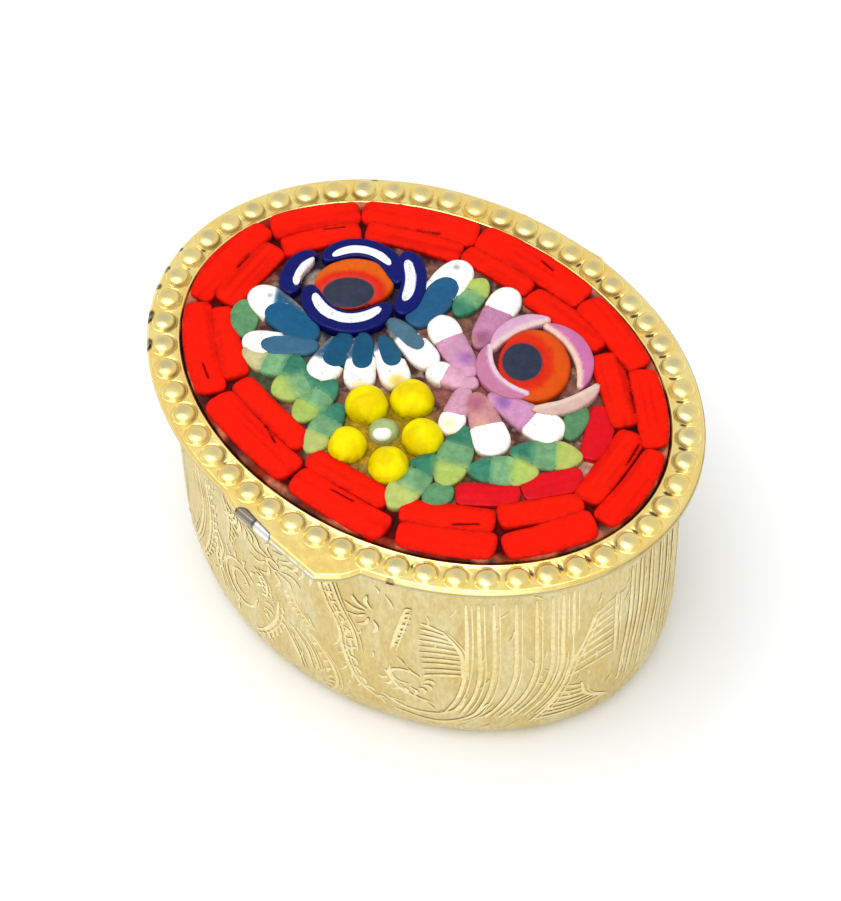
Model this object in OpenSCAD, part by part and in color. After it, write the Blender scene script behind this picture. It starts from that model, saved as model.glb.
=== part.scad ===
// Oval pill box: a stamped gilt cup, and a hinged lid whose beaded frame holds a glass mosaic of two flowers.
// +X runs along the long axis, -Y is the front with the thumb tab, +Y the hinge side. The base lies on z = 0.

/* [Size] */
// Length of the lid flange
lid_l = 44; // [40:1:50]
// Depth of the lid flange, front to back, without the thumb tab
lid_w = 33.7; // [31:0.5:38]
// Height of the flange's upper face above the table
flange_z = 23; // [18:0.5:28]

/* [Cup] */
// Thickness of the cup's wall and bottom
wall = 0.6; // [0.5:0.1:0.8]
// How far the flange overhangs the cup at the ends
overhang_x = 1.63; // [1.4:0.01:1.9]
// How far the flange overhangs the cup at front and back
overhang_y = 1.11; // [1:0.01:1.3]
// How much the wall leans in from mouth to base
taper = 0.37; // [0:0.01:0.6]
// Width of the rounding where the wall meets the base
round_w = 1.85; // [1:0.05:3]
// Height of that rounding
round_h = 5.6; // [2:0.1:8]
// Gap between the cup's edge and the flange
seat_gap = 0.1; // [0.05:0.05:0.2]
// Thickness of the stiffening ring inside the mouth
ring_t = 0.5; // [0.4:0.1:0.6]
// Height of that ring
ring_h = 3; // [2:0.5:5]

/* [Lid frame] */
// Thickness of the flange
flange_t = 0.7; // [0.5:0.1:1]
// Number of beads round the flange
bead_count = 54; // [48:2:60]
// Radius of a bead
bead_r = 0.9; // [0.7:0.05:1]
// How far the bead ring's centre line lies inside the flange's edge
bead_inset = 1.2; // [1:0.05:1.4]
// Height of a bead above the flange
bead_h = 0.5; // [0.3:0.05:0.7]
// Half the width of the thumb tab where it leaves the flange
tab_root = 6; // [4:0.5:8]
// Half the width of the tab's straight front edge
tab_tip = 4; // [2:0.1:5]
// How far the tab stands out from the flange at its right end
tab_out = 1.6; // [0.8:0.1:2]
// How far it stands out at its left end
tab_out_left = 0.3; // [0.1:0.1:2]
// Width of the rim between the mosaic and the flange's edge
rim_w = 2.6; // [2.4:0.1:2.8]

/* [Lid inside] */
// Thickness of the lid's inner plate
plate_t = 0.4; // [0.3:0.1:0.5]
// Gap all round between the lid's skirt and the cup's ring
skirt_gap = 0.37; // [0.3:0.01:0.5]
// Thickness of the skirt
skirt_t = 0.5; // [0.4:0.1:0.6]
// Depth of the skirt below the inner plate
skirt_h = 2; // [1:0.5:3]
// Length of the catch rib on the skirt's front
rib_l = 6; // [4:1:10]

/* [Hinge] */
// Radius of the hinge pin
pin_r = 0.4; // [0.3:0.05:0.45]
// Outer radius of the knuckles
knuckle_r = 0.7; // [0.6:0.05:0.9]
// Clearance between pin and the lid's knuckle
pin_fit = 0.05; // [0.03:0.01:0.08]
// Length of the whole barrel
barrel_l = 7.2; // [6:0.2:10]
// Length of the lid's middle knuckle
middle_l = 2.8; // [2:0.1:3.4]
// Gap between neighbouring knuckles
knuckle_gap = 0.1; // [0.05:0.05:0.2]

/* [Mosaic] */
// Thickness of the mosaic's backing tray
tray_t = 0.4; // [0.3:0.1:0.5]
// Thickness of the cement bed on the tray
bed_t = 0.25; // [0.2:0.05:0.4]
// Height of the border bars above the bed
border_h = 0.6; // [0.4:0.05:0.8]
// Height of the leaves above the bed
leaf_h = 0.7; // [0.5:0.05:0.9]
// Height of the petals above the bed
petal_h = 0.85; // [0.6:0.05:1]
// Height of the crescents above the bed
crescent_h = 1; // [0.7:0.05:1.2]
// Smallest gap between neighbouring pieces of glass
joint_gap = 0.1; // [0.06:0.02:0.2]

/* [Hidden] */
$fn = 48;
eps = 0.01;

// Levels, from the flange's upper face down and up
flange_low = flange_z - flange_t;
cup_top = flange_low - seat_gap;
plate_low = flange_low - plate_t;
tray_top = flange_low + tray_t;
bed_top = tray_top + bed_t;

// Half axes of the ovals
flange_a = lid_l / 2;
flange_b = lid_w / 2;
cup_a = flange_a - overhang_x;
cup_b = flange_b - overhang_y;
mouth_a = cup_a - wall;
mouth_b = cup_b - wall;
ring_fit = 0.05 + taper * ring_h / cup_top;
skirt_a = mouth_a - ring_t - skirt_gap;
skirt_b = mouth_b - ring_t - skirt_gap;
well_a = flange_a - rim_w;
well_b = flange_b - rim_w;
glass_a = well_a - 0.2;
glass_b = well_b - 0.25;
bead_a = flange_a - bead_inset;
bead_b = flange_b - bead_inset;

// The hinge line, behind the cup's back wall
hinge_y = flange_b - 0.05;
hinge_z = flange_low - knuckle_r - 0.2;
leaf_t = 0.35;
leaf_h_back = 2.6;
side_l = (barrel_l - middle_l) / 2 - knuckle_gap;

// The mosaic's places are set out for a lid of 44 x 33.7 and stretch with it
sx = lid_l / 44;
sy = lid_w / 33.7;
outline_steps = 14;

gold = "#d9c27a";
red = "#ff2400";

// Border bars, clockwise from the left end: [start, end, width, how far the middle bows outwards]
outer_bars = [[[-18.0, -4.0], [-17.9, 4.1], 2.18, 0.3], [[-17.3, 4.4], [-13.0, 9.4], 2.28, 0.35],
              [[-12.7, 9.7], [-4.4, 12.6], 2.18, 0.35], [[-4.2, 12.75], [5.4, 12.55], 2.28, 0.3],
              [[5.7, 12.3], [12.3, 9.7], 2.08, 0.3], [[12.5, 9.4], [17.4, 4.7], 2.28, 0.3],
              [[17.9, 4.3], [18.1, -2.9], 2.18, 0.25], [[17.5, -3.3], [13.8, -8.9], 2.38, 0.15],
              [[13.1, -9.1], [6.7, -12.1], 2.08, 0.2], [[5.9, -12.45], [-2.1, -12.45], 2.18, 0.2],
              [[-2.5, -12.25], [-10.9, -10.2], 2.18, 0.25], [[-11.6, -10.1], [-17.5, -4.5], 2.18, 0.25]];
inner_bars = [[[-15.95, -3.1], [-15.9, 3.1], 2.05, 0.1], [[-15.6, 3.5], [-11.9, 8.0], 2.15, 0.3],
              [[-11.4, 8.4], [-4.5, 10.7], 2.05, 0.3], [[-4.2, 10.9], [1.7, 10.8], 1.55, 0.1],
              [[2.0, 10.5], [9.0, 9.75], 1.85, 0.15], [[9.5, 9.1], [14.6, 5.0], 2.25, 0.1],
              [[15.4, 4.6], [15.9, -2.1], 2.05, 0.1], [[16.0, -2.5], [11.8, -6.9], 1.95, 0.05],
              [[11.8, -7.4], [5.8, -10.5], 1.95, 0], [[4.6, -10.4], [-2.3, -10.5], 1.75, 0],
              [[-3.3, -10.0], [-10.5, -8.2], 1.75, 0.1], [[-11.0, -8.0], [-15.9, -3.8], 1.85, 0.1]];
crimson = [[[12.4, 5.3], [14.3, 1.0], 1.9, 0], [[14.7, -0.7], [11.8, -4.0], 1.9, 0],
           [[11.9, -4.6], [8.2, -7.0], 1.8, 0]];

// Crescents: [centre, inner radius, outer radius, start angle, end angle]
navy = [[[-8.8, 3.0], 2.2, 3.8, -152, 10], [[-9.4, 3.7], 3.9, 5.4, 68, -4],
        [[-9.1, 3.9], 2.4, 3.7, 176, 32], [[-10.4, 2.6], 2.3, 3.7, 150, 232]];
navy_cores = [[[-8.8, 3.0], 2.3, 3.15, -138, 0], [[-9.4, 3.7], 4.05, 4.8, 60, 8],
              [[-9.1, 3.9], 2.5, 3.15, 166, 62], [[-10.4, 2.6], 2.3, 2.85, 146, 222]];
pink = [[[5.4, 5.1], 2.3, 3.5, 184, 312], [[6.1, 4.9], 3.35, 4.5, 112, 8],
        [[6.2, 5.9], 3.1, 4.1, 114, 200], [[6.3, 6.2], 4.2, 5.1, 4, -64]];

// Petals: [tip, inner end, width at the tip, width at the inner end]
blue_petals = [[[-14.8, -1.1], [-8.4, -2.0], 2.6, 2.2], [[-12.5, -5.2], [-7.8, -2.5], 2.0, 1.4],
               [[-6.1, -4.8], [-6.7, -0.3], 2.5, 1.5], [[-3.1, -3.7], [-5.8, 0.4], 2.3, 1.4],
               [[-0.8, -1.9], [-4.5, 0.9], 2.3, 1.2], [[0.1, 1.1], [-5.0, 2.5], 2.1, 1.2],
               [[-3.5, 10.0], [-3.4, 3.2], 2.6, 2.2]];
petal_cores = [[[-12.9, -1.8], [-8.2, -2.0], 2.1, 2.4], [[-11.3, -4.8], [-7.7, -2.5], 1.4, 1.7],
               [[-5.9, -3.4], [-6.8, -0.1], 1.9, 1.3], [[-3.9, -2.3], [-5.8, 0.6], 1.6, 1.2],
               [[-2.1, -0.7], [-4.6, 1.2], 1.5, 1.1], [[-1.4, 1.7], [-5.1, 2.6], 1.4, 1.1],
               [[-3.3, 8.2], [-3.4, 3.0], 2.2, 2.1]];
// Lilac petals also say which share of their length is white
lilac = [[[0.7, 10.0], [1.7, 4.3], 2.5, 1.5, 0.38], [[-2.3, 4.7], [3.0, 1.9], 2.4, 1.5, 0.35],
         [[0.0, 0.6], [3.7, 1.5], 2.0, 1.1, 0.34], [[4.5, -3.2], [3.2, 0.9], 1.9, 1.1, 0.38],
         [[8.4, -2.6], [4.1, 0.8], 3.0, 1.3, 0.45], [[11.3, 1.3], [5.0, 1.3], 3.0, 1.1, 0.4]];

// Leaves: [light end, teal end, width]
leaves = [[[-12.0, -5.8], [-7.2, -4.6], 2.4], [[-7.9, -7.6], [-6.1, -4.3], 2.3], [[-5.1, -8.6], [-4.8, -4.2], 1.95],
          [[-2.7, -10.3], [-3.25, -5.6], 1.85], [[7.0, -7.1], [5.3, -2.0], 2.2], [[5.0, -10.7], [4.9, -5.3], 2.2],
          [[11.8, -2.2], [7.6, -4.9], 2.15], [[13.6, 0.7], [9.2, -1.9], 2.2], [[-1.5, 9.6], [-1.3, 5.8], 1.7]];
light_end = 0.36;
teal_start = 0.68;
plain_leaves = [[[-14.7, -2.2], [-12.8, -4.8], 1.7], [[7.6, -6.9], [6.7, -8.9], 1.6], [[10.9, 4.5], [11.9, 1.5], 1.4]];

// Ball flower: [centre, radius]
balls = [[[0.7, -2.3], 1.62], [[-1.7, -4.6], 1.6], [[3.3, -4.6], 1.55], [[-0.7, -8.2], 1.45], [[2.8, -7.9], 1.5]];
ball_lift = 0.4;
middle_ball = [[0.6, -5.6], 1.15];
middle_lift = 0.05;
dot = [[0.9, -6.4], 0.5];
dot_h = 1.05;

// Flower eyes, from the outside in: [centre, half length, half width, tilt]
blue_eye = [[[-9.1, 3.7], 2.9, 2.2, 38], [[-9.0, 2.8], 2.2, 1.7, 38], [[-8.8, 2.6], 1.9, 1.4, 38]];
pink_eye = [[[6.1, 5.3], 3.2, 2.6, -51], [[5.7, 5.1], 2.2, 1.85, -51], [[5.3, 4.9], 1.7, 1.45, -51]];
eye_h = [0.85, 0.95, 1.05];

function oval(a, b, n = 96) = [for (i = [0 : n - 1]) [a * cos(360 * i / n), b * sin(360 * i / n)]];

// Parameter angle of the point a share s of the way round an oval, in degrees, evenly spaced by length
function even_angle(s, a, b) =
    let (squash = (a * a - b * b) / (a * a + b * b) / 4)
    360 * s + squash * sin(720 * s) * 180 / PI;

// Half width, 0 to 1, of an outline at angle w of its half turn: n and m set how square or pointed the ends are
function swell(w, n, m) = pow(1 - pow(abs(cos(w)), n), 1 / m);

// Outline from p to q, w wide at p and v wide at q, its middle bowed to the left
function strip(p, q, w, v, n, m, bow = 0) =
    let (d = q - p, left = [-d[1], d[0]] / norm(d), k = outline_steps)
    [for (side = [1, -1], i = [(side == 1 ? 0 : 1) : (side == 1 ? k : k - 1)])
        let (turn = 180 * (side == 1 ? i : k - i) / k, t = (1 - cos(turn)) / 2)
        p + d * t + left * (side * (w + (v - w) * t) / 2 * swell(turn, n, m) + bow * pow(sin(turn), 2))];

// Outline of a crescent between two radii, from angle a1 to angle a2
function crescent(c, r1, r2, a1, a2, n, m) =
    let (k = outline_steps, mid = (r1 + r2) / 2, half = (r2 - r1) / 2)
    [for (side = [1, -1], i = [(side == 1 ? 0 : 1) : (side == 1 ? k : k - 1)])
        let (turn = 180 * (side == 1 ? i : k - i) / k, a = a1 + (a2 - a1) * (1 - cos(turn)) / 2)
        c + (mid + side * half * swell(turn, n, m)) * [cos(a), sin(a)]];

// Draws the child once for each $i, and cuts each one clear of those before it
module clear_of_earlier(n) {
    for (i = [0 : n - 1])
        difference() {
            let ($i = i, $grow = 0) children();
            for (j = [0 : 1 : i - 1])
                let ($i = j, $grow = joint_gap) children();
        }
}

module oval_plate(a, b, z0, z1) {
    translate([0, 0, z0])
        linear_extrude(z1 - z0)
            polygon(oval(a, b));
}

module oval_ring(a, b, t, z0, z1) {
    difference() {
        oval_plate(a, b, z0, z1);
        oval_plate(a - t, b - t, z0 - 1, z1 + 1);
    }
}

module glass(h) {
    translate([0, 0, bed_top])
        linear_extrude(h)
            scale([sx, sy])
                children();
}

// ---- outlines of the mosaic's pieces, each grown by g all round

module bar(row, g) {
    stretch = (row[1] - row[0]) / norm(row[1] - row[0]) * g;
    polygon(strip(row[0] - stretch, row[1] + stretch, row[2] + 2 * g, row[2] + 2 * g, 24, 4, row[3]));
}

module petal(row, g) {
    stretch = (row[1] - row[0]) / norm(row[1] - row[0]) * g;
    polygon(strip(row[0] - stretch, row[1] + stretch, row[2] + 2 * g, row[3] + 2 * g, 4, 2));
}

module leaf(row, g) {
    stretch = (row[1] - row[0]) / norm(row[1] - row[0]) * g;
    polygon(strip(row[0] - stretch, row[1] + stretch, row[2] * 1.15 + 2 * g, row[2] * 0.9 + 2 * g, 2.5, 1.25));
}

// n and m, as in swell(), say whether its horns are blunt or pointed
module moon(row, g, n = 5, m = 1.6) {
    turn = g / row[2] * 180 / PI * sign(row[4] - row[3]);
    polygon(crescent(row[0], row[1] - g, row[2] + g, row[3] - turn, row[4] + turn, n, m));
}

module pink_moon(row, g) {
    moon(row, g, 2.2, 1.1);
}

module disc(row, g) {
    translate(row[0])
        rotate(row[3])
            polygon(oval(row[1] + g, row[2] + g, 40));
}

module navy_all(g) {
    for (row = navy) moon(row, g);
}

module pink_all(g) {
    for (row = pink) pink_moon(row, g);
}

module eyes_all(g) {
    disc(blue_eye[0], g);
    disc(pink_eye[0], g);
}

module balls_all(g) {
    for (row = balls) translate(row[0]) circle(row[1] + g);
    translate(middle_ball[0]) circle(middle_ball[1] + g);
}

module blue_petals_all(g) {
    for (row = blue_petals) petal(row, g);
}

module lilac_all(g) {
    for (row = lilac) petal(row, g);
}

module leaves_all(g) {
    for (row = leaves) leaf(row, g);
    for (row = plain_leaves) leaf(row, g);
}

module crimson_all(g) {
    for (row = crimson) bar(row, g);
}

module inner_all(g) {
    for (row = inner_bars) bar(row, g);
}

// The part of a strip-shaped piece between two shares of its length
module stretch_of(row, from, to) {
    d = row[1] - row[0];
    translate(row[0])
        rotate(atan2(d[1], d[0]))
            translate([norm(d) * from, -4])
                square([norm(d) * (to - from), 8]);
}

// ---- cup

function cup_ring(z, inset) = [for (p = oval(cup_a - inset, cup_b - inset, 72)) [p[0], p[1], z]];

// Rings of one wall of the cup, from the base up, for a wall set in by t
function cup_rings(t, steps = 8) =
    [for (i = [0 : steps])
        let (w = 90 * i / steps, z = round_h * (1 - cos(w)))
        cup_ring(t + z * (1 - t / round_h), t + taper * (1 - z / cup_top) + (round_w) * (1 - sin(w)))];

module cup_shell() {
    outer = concat(cup_rings(0), [cup_ring(cup_top, 0)]);
    inner = concat(cup_rings(wall), [cup_ring(cup_top, wall)]);
    rings = concat(outer, [for (i = [len(inner) - 1 : -1 : 0]) inner[i]]);
    n = len(rings[0]);
    last = len(rings) - 1;
    color(gold)
        polyhedron(
            [for (ring = rings, p = ring) p],
            concat(
                [[for (i = [0 : n - 1]) i]],
                [for (r = [0 : last - 1], i = [0 : n - 1], half = [0, 1])
                    let (j = (i + 1) % n)
                    half == 0 ? [r * n + i, (r + 1) * n + i, (r + 1) * n + j] : [r * n + i, (r + 1) * n + j, r * n + j]],
                [[for (i = [n - 1 : -1 : 0]) last * n + i]]));
}

module mouth_ring() {
    color(gold)
        oval_ring(mouth_a - ring_fit, mouth_b - ring_fit, ring_t - ring_fit, cup_top - ring_h, cup_top - 0.2);
}

// ---- hinge

module along_hinge(x, r, l) {
    translate([x, hinge_y, hinge_z])
        rotate([0, 90, 0])
            cylinder(r = r, h = l);
}

module cup_hinge_leaf() {
    side_x = middle_l / 2 + knuckle_gap;
    color(gold)
        difference() {
            union() {
                for (x = [-side_x - side_l, side_x]) {
                    along_hinge(x, knuckle_r, side_l);
                    translate([x, cup_b - 0.4, hinge_z - knuckle_r])
                        cube([side_l, hinge_y - cup_b + 0.4, leaf_t]);
                }
                translate([-barrel_l / 2, cup_b - 0.4, hinge_z - leaf_h_back])
                    cube([barrel_l, 0.4 + leaf_t, leaf_h_back - knuckle_r + leaf_t]);
            }
            oval_plate(cup_a + 0.02, cup_b + 0.02, 0, flange_z);
            along_hinge(-barrel_l, pin_r, 2 * barrel_l);
        }
}

module hinge_pin() {
    color("#b9a05a")
        along_hinge(-barrel_l / 2, pin_r, barrel_l);
}

module lid_hinge_leaf() {
    color(gold)
        difference() {
            union() {
                along_hinge(-middle_l / 2, knuckle_r, middle_l);
                translate([-middle_l / 2, hinge_y - knuckle_r, hinge_z])
                    cube([middle_l, knuckle_r + 0.1, flange_low - hinge_z]);
            }
            along_hinge(-barrel_l, pin_r + pin_fit, 2 * barrel_l);
        }
}

// ---- lid

module tab_outline() {
    y = -flange_b;
    polygon([[-tab_root, y + 1.2], [-tab_root * 0.95, y + 0.6], [-tab_root * 0.82, y + 0.1],
             [-tab_tip, y - tab_out_left], [tab_tip, y - tab_out], [tab_tip * 1.17, y - tab_out * 0.72],
             [tab_root * 0.92, y - tab_out * 0.35], [tab_root, y + 0.05], [tab_root * 1.06, y + 0.65],
             [tab_root * 1.06, y + 1.2]]);
}

module lid_frame() {
    sphere_sink = (bead_r * bead_r - bead_h * bead_h) / (2 * bead_h);
    sphere_r = sphere_sink + bead_h;
    color(gold)
        difference() {
            union() {
                oval_plate(flange_a, flange_b, flange_low, flange_z);
                translate([0, 0, flange_low])
                    linear_extrude(flange_t)
                        tab_outline();
                for (i = [0 : bead_count - 1]) {
                    w = even_angle(i / bead_count - 0.25, bead_a, bead_b);
                    translate([bead_a * cos(w), bead_b * sin(w), flange_z - sphere_sink])
                        sphere(sphere_r, $fn = 32);
                }
            }
            oval_plate(well_a, well_b, 0, flange_z + 2);
            oval_plate(flange_a + 5, flange_b + 5, 0, flange_low);
        }
}

module lid_inner_plate() {
    color(gold)
        oval_plate(skirt_a, skirt_b, plate_low, flange_low);
}

module lid_skirt() {
    color(gold)
        oval_ring(skirt_a, skirt_b, skirt_t, plate_low - skirt_h, plate_low);
}

module catch_rib() {
    color(gold)
        difference() {
            intersection() {
                oval_plate(skirt_a + 0.2, skirt_b + 0.2, plate_low - 1.3, plate_low - 0.8);
                translate([-rib_l / 2, -skirt_b - 1, plate_low - 2])
                    cube([rib_l, 2, 2]);
            }
            oval_plate(skirt_a, skirt_b, 0, flange_z);
        }
}

module mosaic_tray() {
    color("#8a7a58")
        oval_plate(well_a - 0.03, well_b - 0.03, flange_low, tray_top);
}

module cement_bed() {
    color("#a8654e")
        oval_plate(well_a - 0.03, well_b - 0.03, tray_top, bed_top);
}

// ---- mosaic

module border_outer_bars() {
    color(red)
        glass(border_h)
            intersection() {
                polygon(oval(glass_a, glass_b));
                clear_of_earlier(len(outer_bars)) bar(outer_bars[$i], $grow);
            }
}

module border_inner_bars() {
    color(red)
        glass(border_h)
            difference() {
                clear_of_earlier(len(inner_bars)) bar(inner_bars[$i], $grow);
                for (row = outer_bars) bar(row, joint_gap);
                navy_all(joint_gap);
                pink_all(joint_gap);
                blue_petals_all(joint_gap);
                lilac_all(joint_gap);
                leaves_all(joint_gap);
                balls_all(joint_gap);
            }
}

module crimson_bars() {
    color("#e01030")
        glass(border_h)
            difference() {
                clear_of_earlier(len(crimson)) bar(crimson[$i], $grow);
                inner_all(joint_gap);
                leaves_all(joint_gap);
            }
}

// One step of a flower's eye: the disc, cut clear of the crescents and of the steps inside it
module eye_step(eye, step) {
    glass(eye_h[step])
        difference() {
            disc(eye[step], 0);
            for (inside = [step + 1 : 1 : len(eye) - 1]) disc(eye[inside], eps);
            navy_all(joint_gap / 2);
            pink_all(joint_gap / 2);
        }
}

module blue_eye_core() {
    color("#3e4255") eye_step(blue_eye, 2);
}

module blue_eye_red_ring() {
    color("#e8401c") eye_step(blue_eye, 1);
}

module blue_eye_orange_ring() {
    color("#ef7a1c") eye_step(blue_eye, 0);
}

module pink_eye_core() {
    color("#33395a") eye_step(pink_eye, 2);
}

module pink_eye_red_ring() {
    color("#e8401c") eye_step(pink_eye, 1);
}

module pink_eye_orange_ring() {
    color("#ef7a1c") eye_step(pink_eye, 0);
}

module navy_crescents() {
    color("#001c82")
        glass(crescent_h)
            difference() {
                clear_of_earlier(len(navy)) moon(navy[$i], $grow);
                for (row = navy_cores) moon(row, eps);
            }
}

module navy_crescent_cores() {
    color("white")
        glass(crescent_h)
            intersection() {
                for (row = navy_cores) moon(row, 0);
                clear_of_earlier(len(navy)) moon(navy[$i], $grow);
            }
}

module blue_petal_cores() {
    color("#28689a")
        glass(petal_h)
            difference() {
                intersection() {
                    clear_of_earlier(len(blue_petals)) petal(blue_petals[$i], $grow);
                    for (row = petal_cores) petal(row, 0);
                }
                navy_all(joint_gap);
            }
}

module blue_petal_rims() {
    color("white")
        glass(petal_h)
            difference() {
                clear_of_earlier(len(blue_petals)) petal(blue_petals[$i], $grow);
                for (row = petal_cores) petal(row, eps);
                navy_all(joint_gap);
                balls_all(joint_gap);
            }
}

module pink_crescents() {
    color("#d884c0")
        glass(crescent_h)
            clear_of_earlier(len(pink)) pink_moon(pink[$i], $grow);
}

// The lilac petals, whole, cut clear of each other and of their neighbours
module lilac_whole() {
    difference() {
        clear_of_earlier(len(lilac)) petal(lilac[$i], $grow);
        pink_all(joint_gap);
        blue_petals_all(joint_gap);
        balls_all(joint_gap);
    }
}

module lilac_petals() {
    color("#d69ac8")
        glass(petal_h)
            intersection() {
                lilac_whole();
                for (row = lilac) intersection() {
                    petal(row, 0);
                    stretch_of(row, row[4] + eps, 1.1);
                }
            }
}

module lilac_petal_tips() {
    color("white")
        glass(petal_h)
            difference() {
                lilac_whole();
                for (row = lilac) intersection() {
                    petal(row, joint_gap);
                    stretch_of(row, row[4], 1.1);
                }
            }
}

module yellow_beads() {
    color("#ffec00")
        for (row = balls)
            intersection() {
                translate([row[0][0] * sx, row[0][1] * sy, bed_top + ball_lift]) sphere(row[1]);
                oval_plate(well_a, well_b, bed_top, flange_z + 5);
            }
}

module centre_bead() {
    color("#b8c88c")
        difference() {
            translate([middle_ball[0][0] * sx, middle_ball[0][1] * sy, bed_top + middle_lift])
                sphere(middle_ball[1]);
            oval_plate(well_a, well_b, 0, bed_top);
            for (row = balls)
                translate([row[0][0] * sx, row[0][1] * sy, bed_top + ball_lift]) sphere(row[1] + 0.05);
            translate([dot[0][0] * sx, dot[0][1] * sy, bed_top]) cylinder(r = dot[1] + 0.01, h = 2);
        }
}

module centre_dot() {
    color("white")
        translate([dot[0][0] * sx, dot[0][1] * sy, bed_top])
            cylinder(r = dot[1], h = dot_h);
}

// The part of one leaf between two shares of its length, or the whole leaf grown by g
module leaf_band(row, g, from, to) {
    if (g > 0)
        leaf(row, g);
    else
        intersection() {
            leaf(row, 0);
            stretch_of(row, from + eps, to);
        }
}

// One colour's bands of all the leaves, cut clear of each other and of their neighbours
module leaf_bands(from, to) {
    glass(leaf_h)
        difference() {
            clear_of_earlier(len(leaves)) leaf_band(leaves[$i], $grow, from, to);
            balls_all(joint_gap);
            navy_all(joint_gap);
            blue_petals_all(joint_gap);
            lilac_all(joint_gap);
            for (row = outer_bars) bar(row, joint_gap);
        }
}

module leaf_light_bands() {
    color("#c2d468") leaf_bands(-0.1, light_end);
}

module leaf_green_bands() {
    color("#86b47e") leaf_bands(light_end, teal_start);
}

module leaf_teal_bands() {
    color("#3a8c7c") leaf_bands(teal_start, 1.1);
}

module small_leaves() {
    color("#78ae84")
        glass(leaf_h)
            difference() {
                for (row = plain_leaves) leaf(row, 0);
                for (row = leaves) leaf(row, joint_gap);
                blue_petals_all(joint_gap);
                lilac_all(joint_gap);
                pink_all(joint_gap);
            }
}

cup_shell();
mouth_ring();
cup_hinge_leaf();
hinge_pin();
lid_frame();
lid_hinge_leaf();
lid_inner_plate();
lid_skirt();
catch_rib();
mosaic_tray();
cement_bed();
border_outer_bars();
border_inner_bars();
crimson_bars();
blue_eye_core();
blue_eye_red_ring();
blue_eye_orange_ring();
navy_crescents();
navy_crescent_cores();
blue_petal_cores();
blue_petal_rims();
pink_eye_core();
pink_eye_red_ring();
pink_eye_orange_ring();
pink_crescents();
lilac_petals();
lilac_petal_tips();
yellow_beads();
centre_bead();
centre_dot();
leaf_light_bands();
leaf_green_bands();
leaf_teal_bands();
small_leaves();
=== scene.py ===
import math

import bmesh
import bpy
import numpy as np
from mathutils import Matrix, Vector
from mathutils.geometry import delaunay_2d_cdt


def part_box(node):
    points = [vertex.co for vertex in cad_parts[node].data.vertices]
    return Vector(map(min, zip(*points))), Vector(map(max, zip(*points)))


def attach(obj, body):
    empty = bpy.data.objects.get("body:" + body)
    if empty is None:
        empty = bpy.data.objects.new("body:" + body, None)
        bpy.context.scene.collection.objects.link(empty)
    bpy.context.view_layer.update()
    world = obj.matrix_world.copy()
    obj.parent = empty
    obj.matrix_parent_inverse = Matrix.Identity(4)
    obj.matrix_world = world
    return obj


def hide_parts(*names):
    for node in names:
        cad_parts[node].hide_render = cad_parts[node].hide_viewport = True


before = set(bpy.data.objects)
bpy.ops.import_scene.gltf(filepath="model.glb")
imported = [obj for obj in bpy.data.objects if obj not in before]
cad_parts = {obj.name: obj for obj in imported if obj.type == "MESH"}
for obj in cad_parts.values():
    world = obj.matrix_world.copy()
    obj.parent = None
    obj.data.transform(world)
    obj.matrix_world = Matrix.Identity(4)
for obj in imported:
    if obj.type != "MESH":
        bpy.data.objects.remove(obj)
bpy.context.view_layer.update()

# Oval gilt pill box with a glass mosaic lid. Lengths are in millimetres until mesh_object() makes metres of
# them. +X is the long axis, -Y the front with the thumb tab, +Y the hinge side; the box stands on z = 0.

MM = 0.001
WELD = 2e-6


def box_mm(node):
    """Lowest and highest corner of a CAD node, in millimetres."""
    return [np.array(corner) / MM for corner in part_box(node)]


# ---- places taken from the frame
CUP_A, CUP_B, CUP_TOP = box_mm("cup_shell")[1]
(_, TAB_Y, FLANGE_LOW), (FLANGE_A, FLANGE_B, _) = box_mm("lid_frame")
(_, _, TRAY_TOP), (BED_A, BED_B, BED_TOP) = box_mm("cement_bed")

# ---- sizes shared with the CAD design
FLANGE_Z = FLANGE_LOW + 0.7
WALL, TAPER, ROUND_W, ROUND_H = 0.6, 0.37, 1.85, 5.6
BEAD_COUNT, BEAD_R, BEAD_H, BEAD_INSET = 54, 0.9, 0.5, 1.2
RIM_W = 2.6
TAB_ROOT, TAB_TIP, TAB_OUT_LEFT = 6.0, 4.0, 0.3
BALL_LIFT, MIDDLE_LIFT = 0.4, 0.05
BLUE_EYE, PINK_EYE = (-8.8, 2.6), (5.3, 4.9)

# ---- sizes and places of the visible pieces
LIP = 0.12  # rounding of the cup's mouth
STROKE_W, FINE_W, FLECK_W, STROKE_H = 0.16, 0.07, 0.08, 0.014  # half widths and height of strokes on the cup
OUTLINE_STEP, GRID_STEP = 0.13, 0.2  # spacing of points on a piece of glass
SEAM = 0.06  # nearer than this, an outline runs along a neighbour it is fused with
GLASS_FOOT = BED_TOP - 0.2  # the pieces of glass stand in the cement to this depth
LOWEST = TRAY_TOP + 0.03  # balls and cement stay above this


# ---- small tools


def noise(points, size, seed):
    """Smooth noise from -1 to 1 at points, with features about size wide."""
    cells = 32
    table = np.random.default_rng(seed).random((cells, cells, cells)) * 2 - 1
    q = np.asarray(points, float) / size
    base = np.floor(q).astype(int)
    f = q - base
    f = f * f * (3 - 2 * f)
    total = np.zeros(len(q))
    for corner in np.ndindex(2, 2, 2):
        weight = np.prod([f[:, k] if corner[k] else 1 - f[:, k] for k in range(3)], axis=0)
        i = (base + corner) % cells
        total += weight * table[i[:, 0], i[:, 1], i[:, 2]]
    return total


def layer_noise(xy, level, size, seed):
    """Noise over the plane, from one level of the pattern."""
    return noise(np.column_stack([xy[:, :2], np.full(len(xy), level)]), size, seed)


def ramp(x, low, high):
    """0 below low, 1 above high, smooth in between."""
    t = np.clip((x - low) / (high - low), 0, 1)
    return t * t * (3 - 2 * t)


def hump(x, width):
    """1 at 0, falling away over about a width on either side."""
    return np.exp(-(x / width) ** 2)


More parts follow.
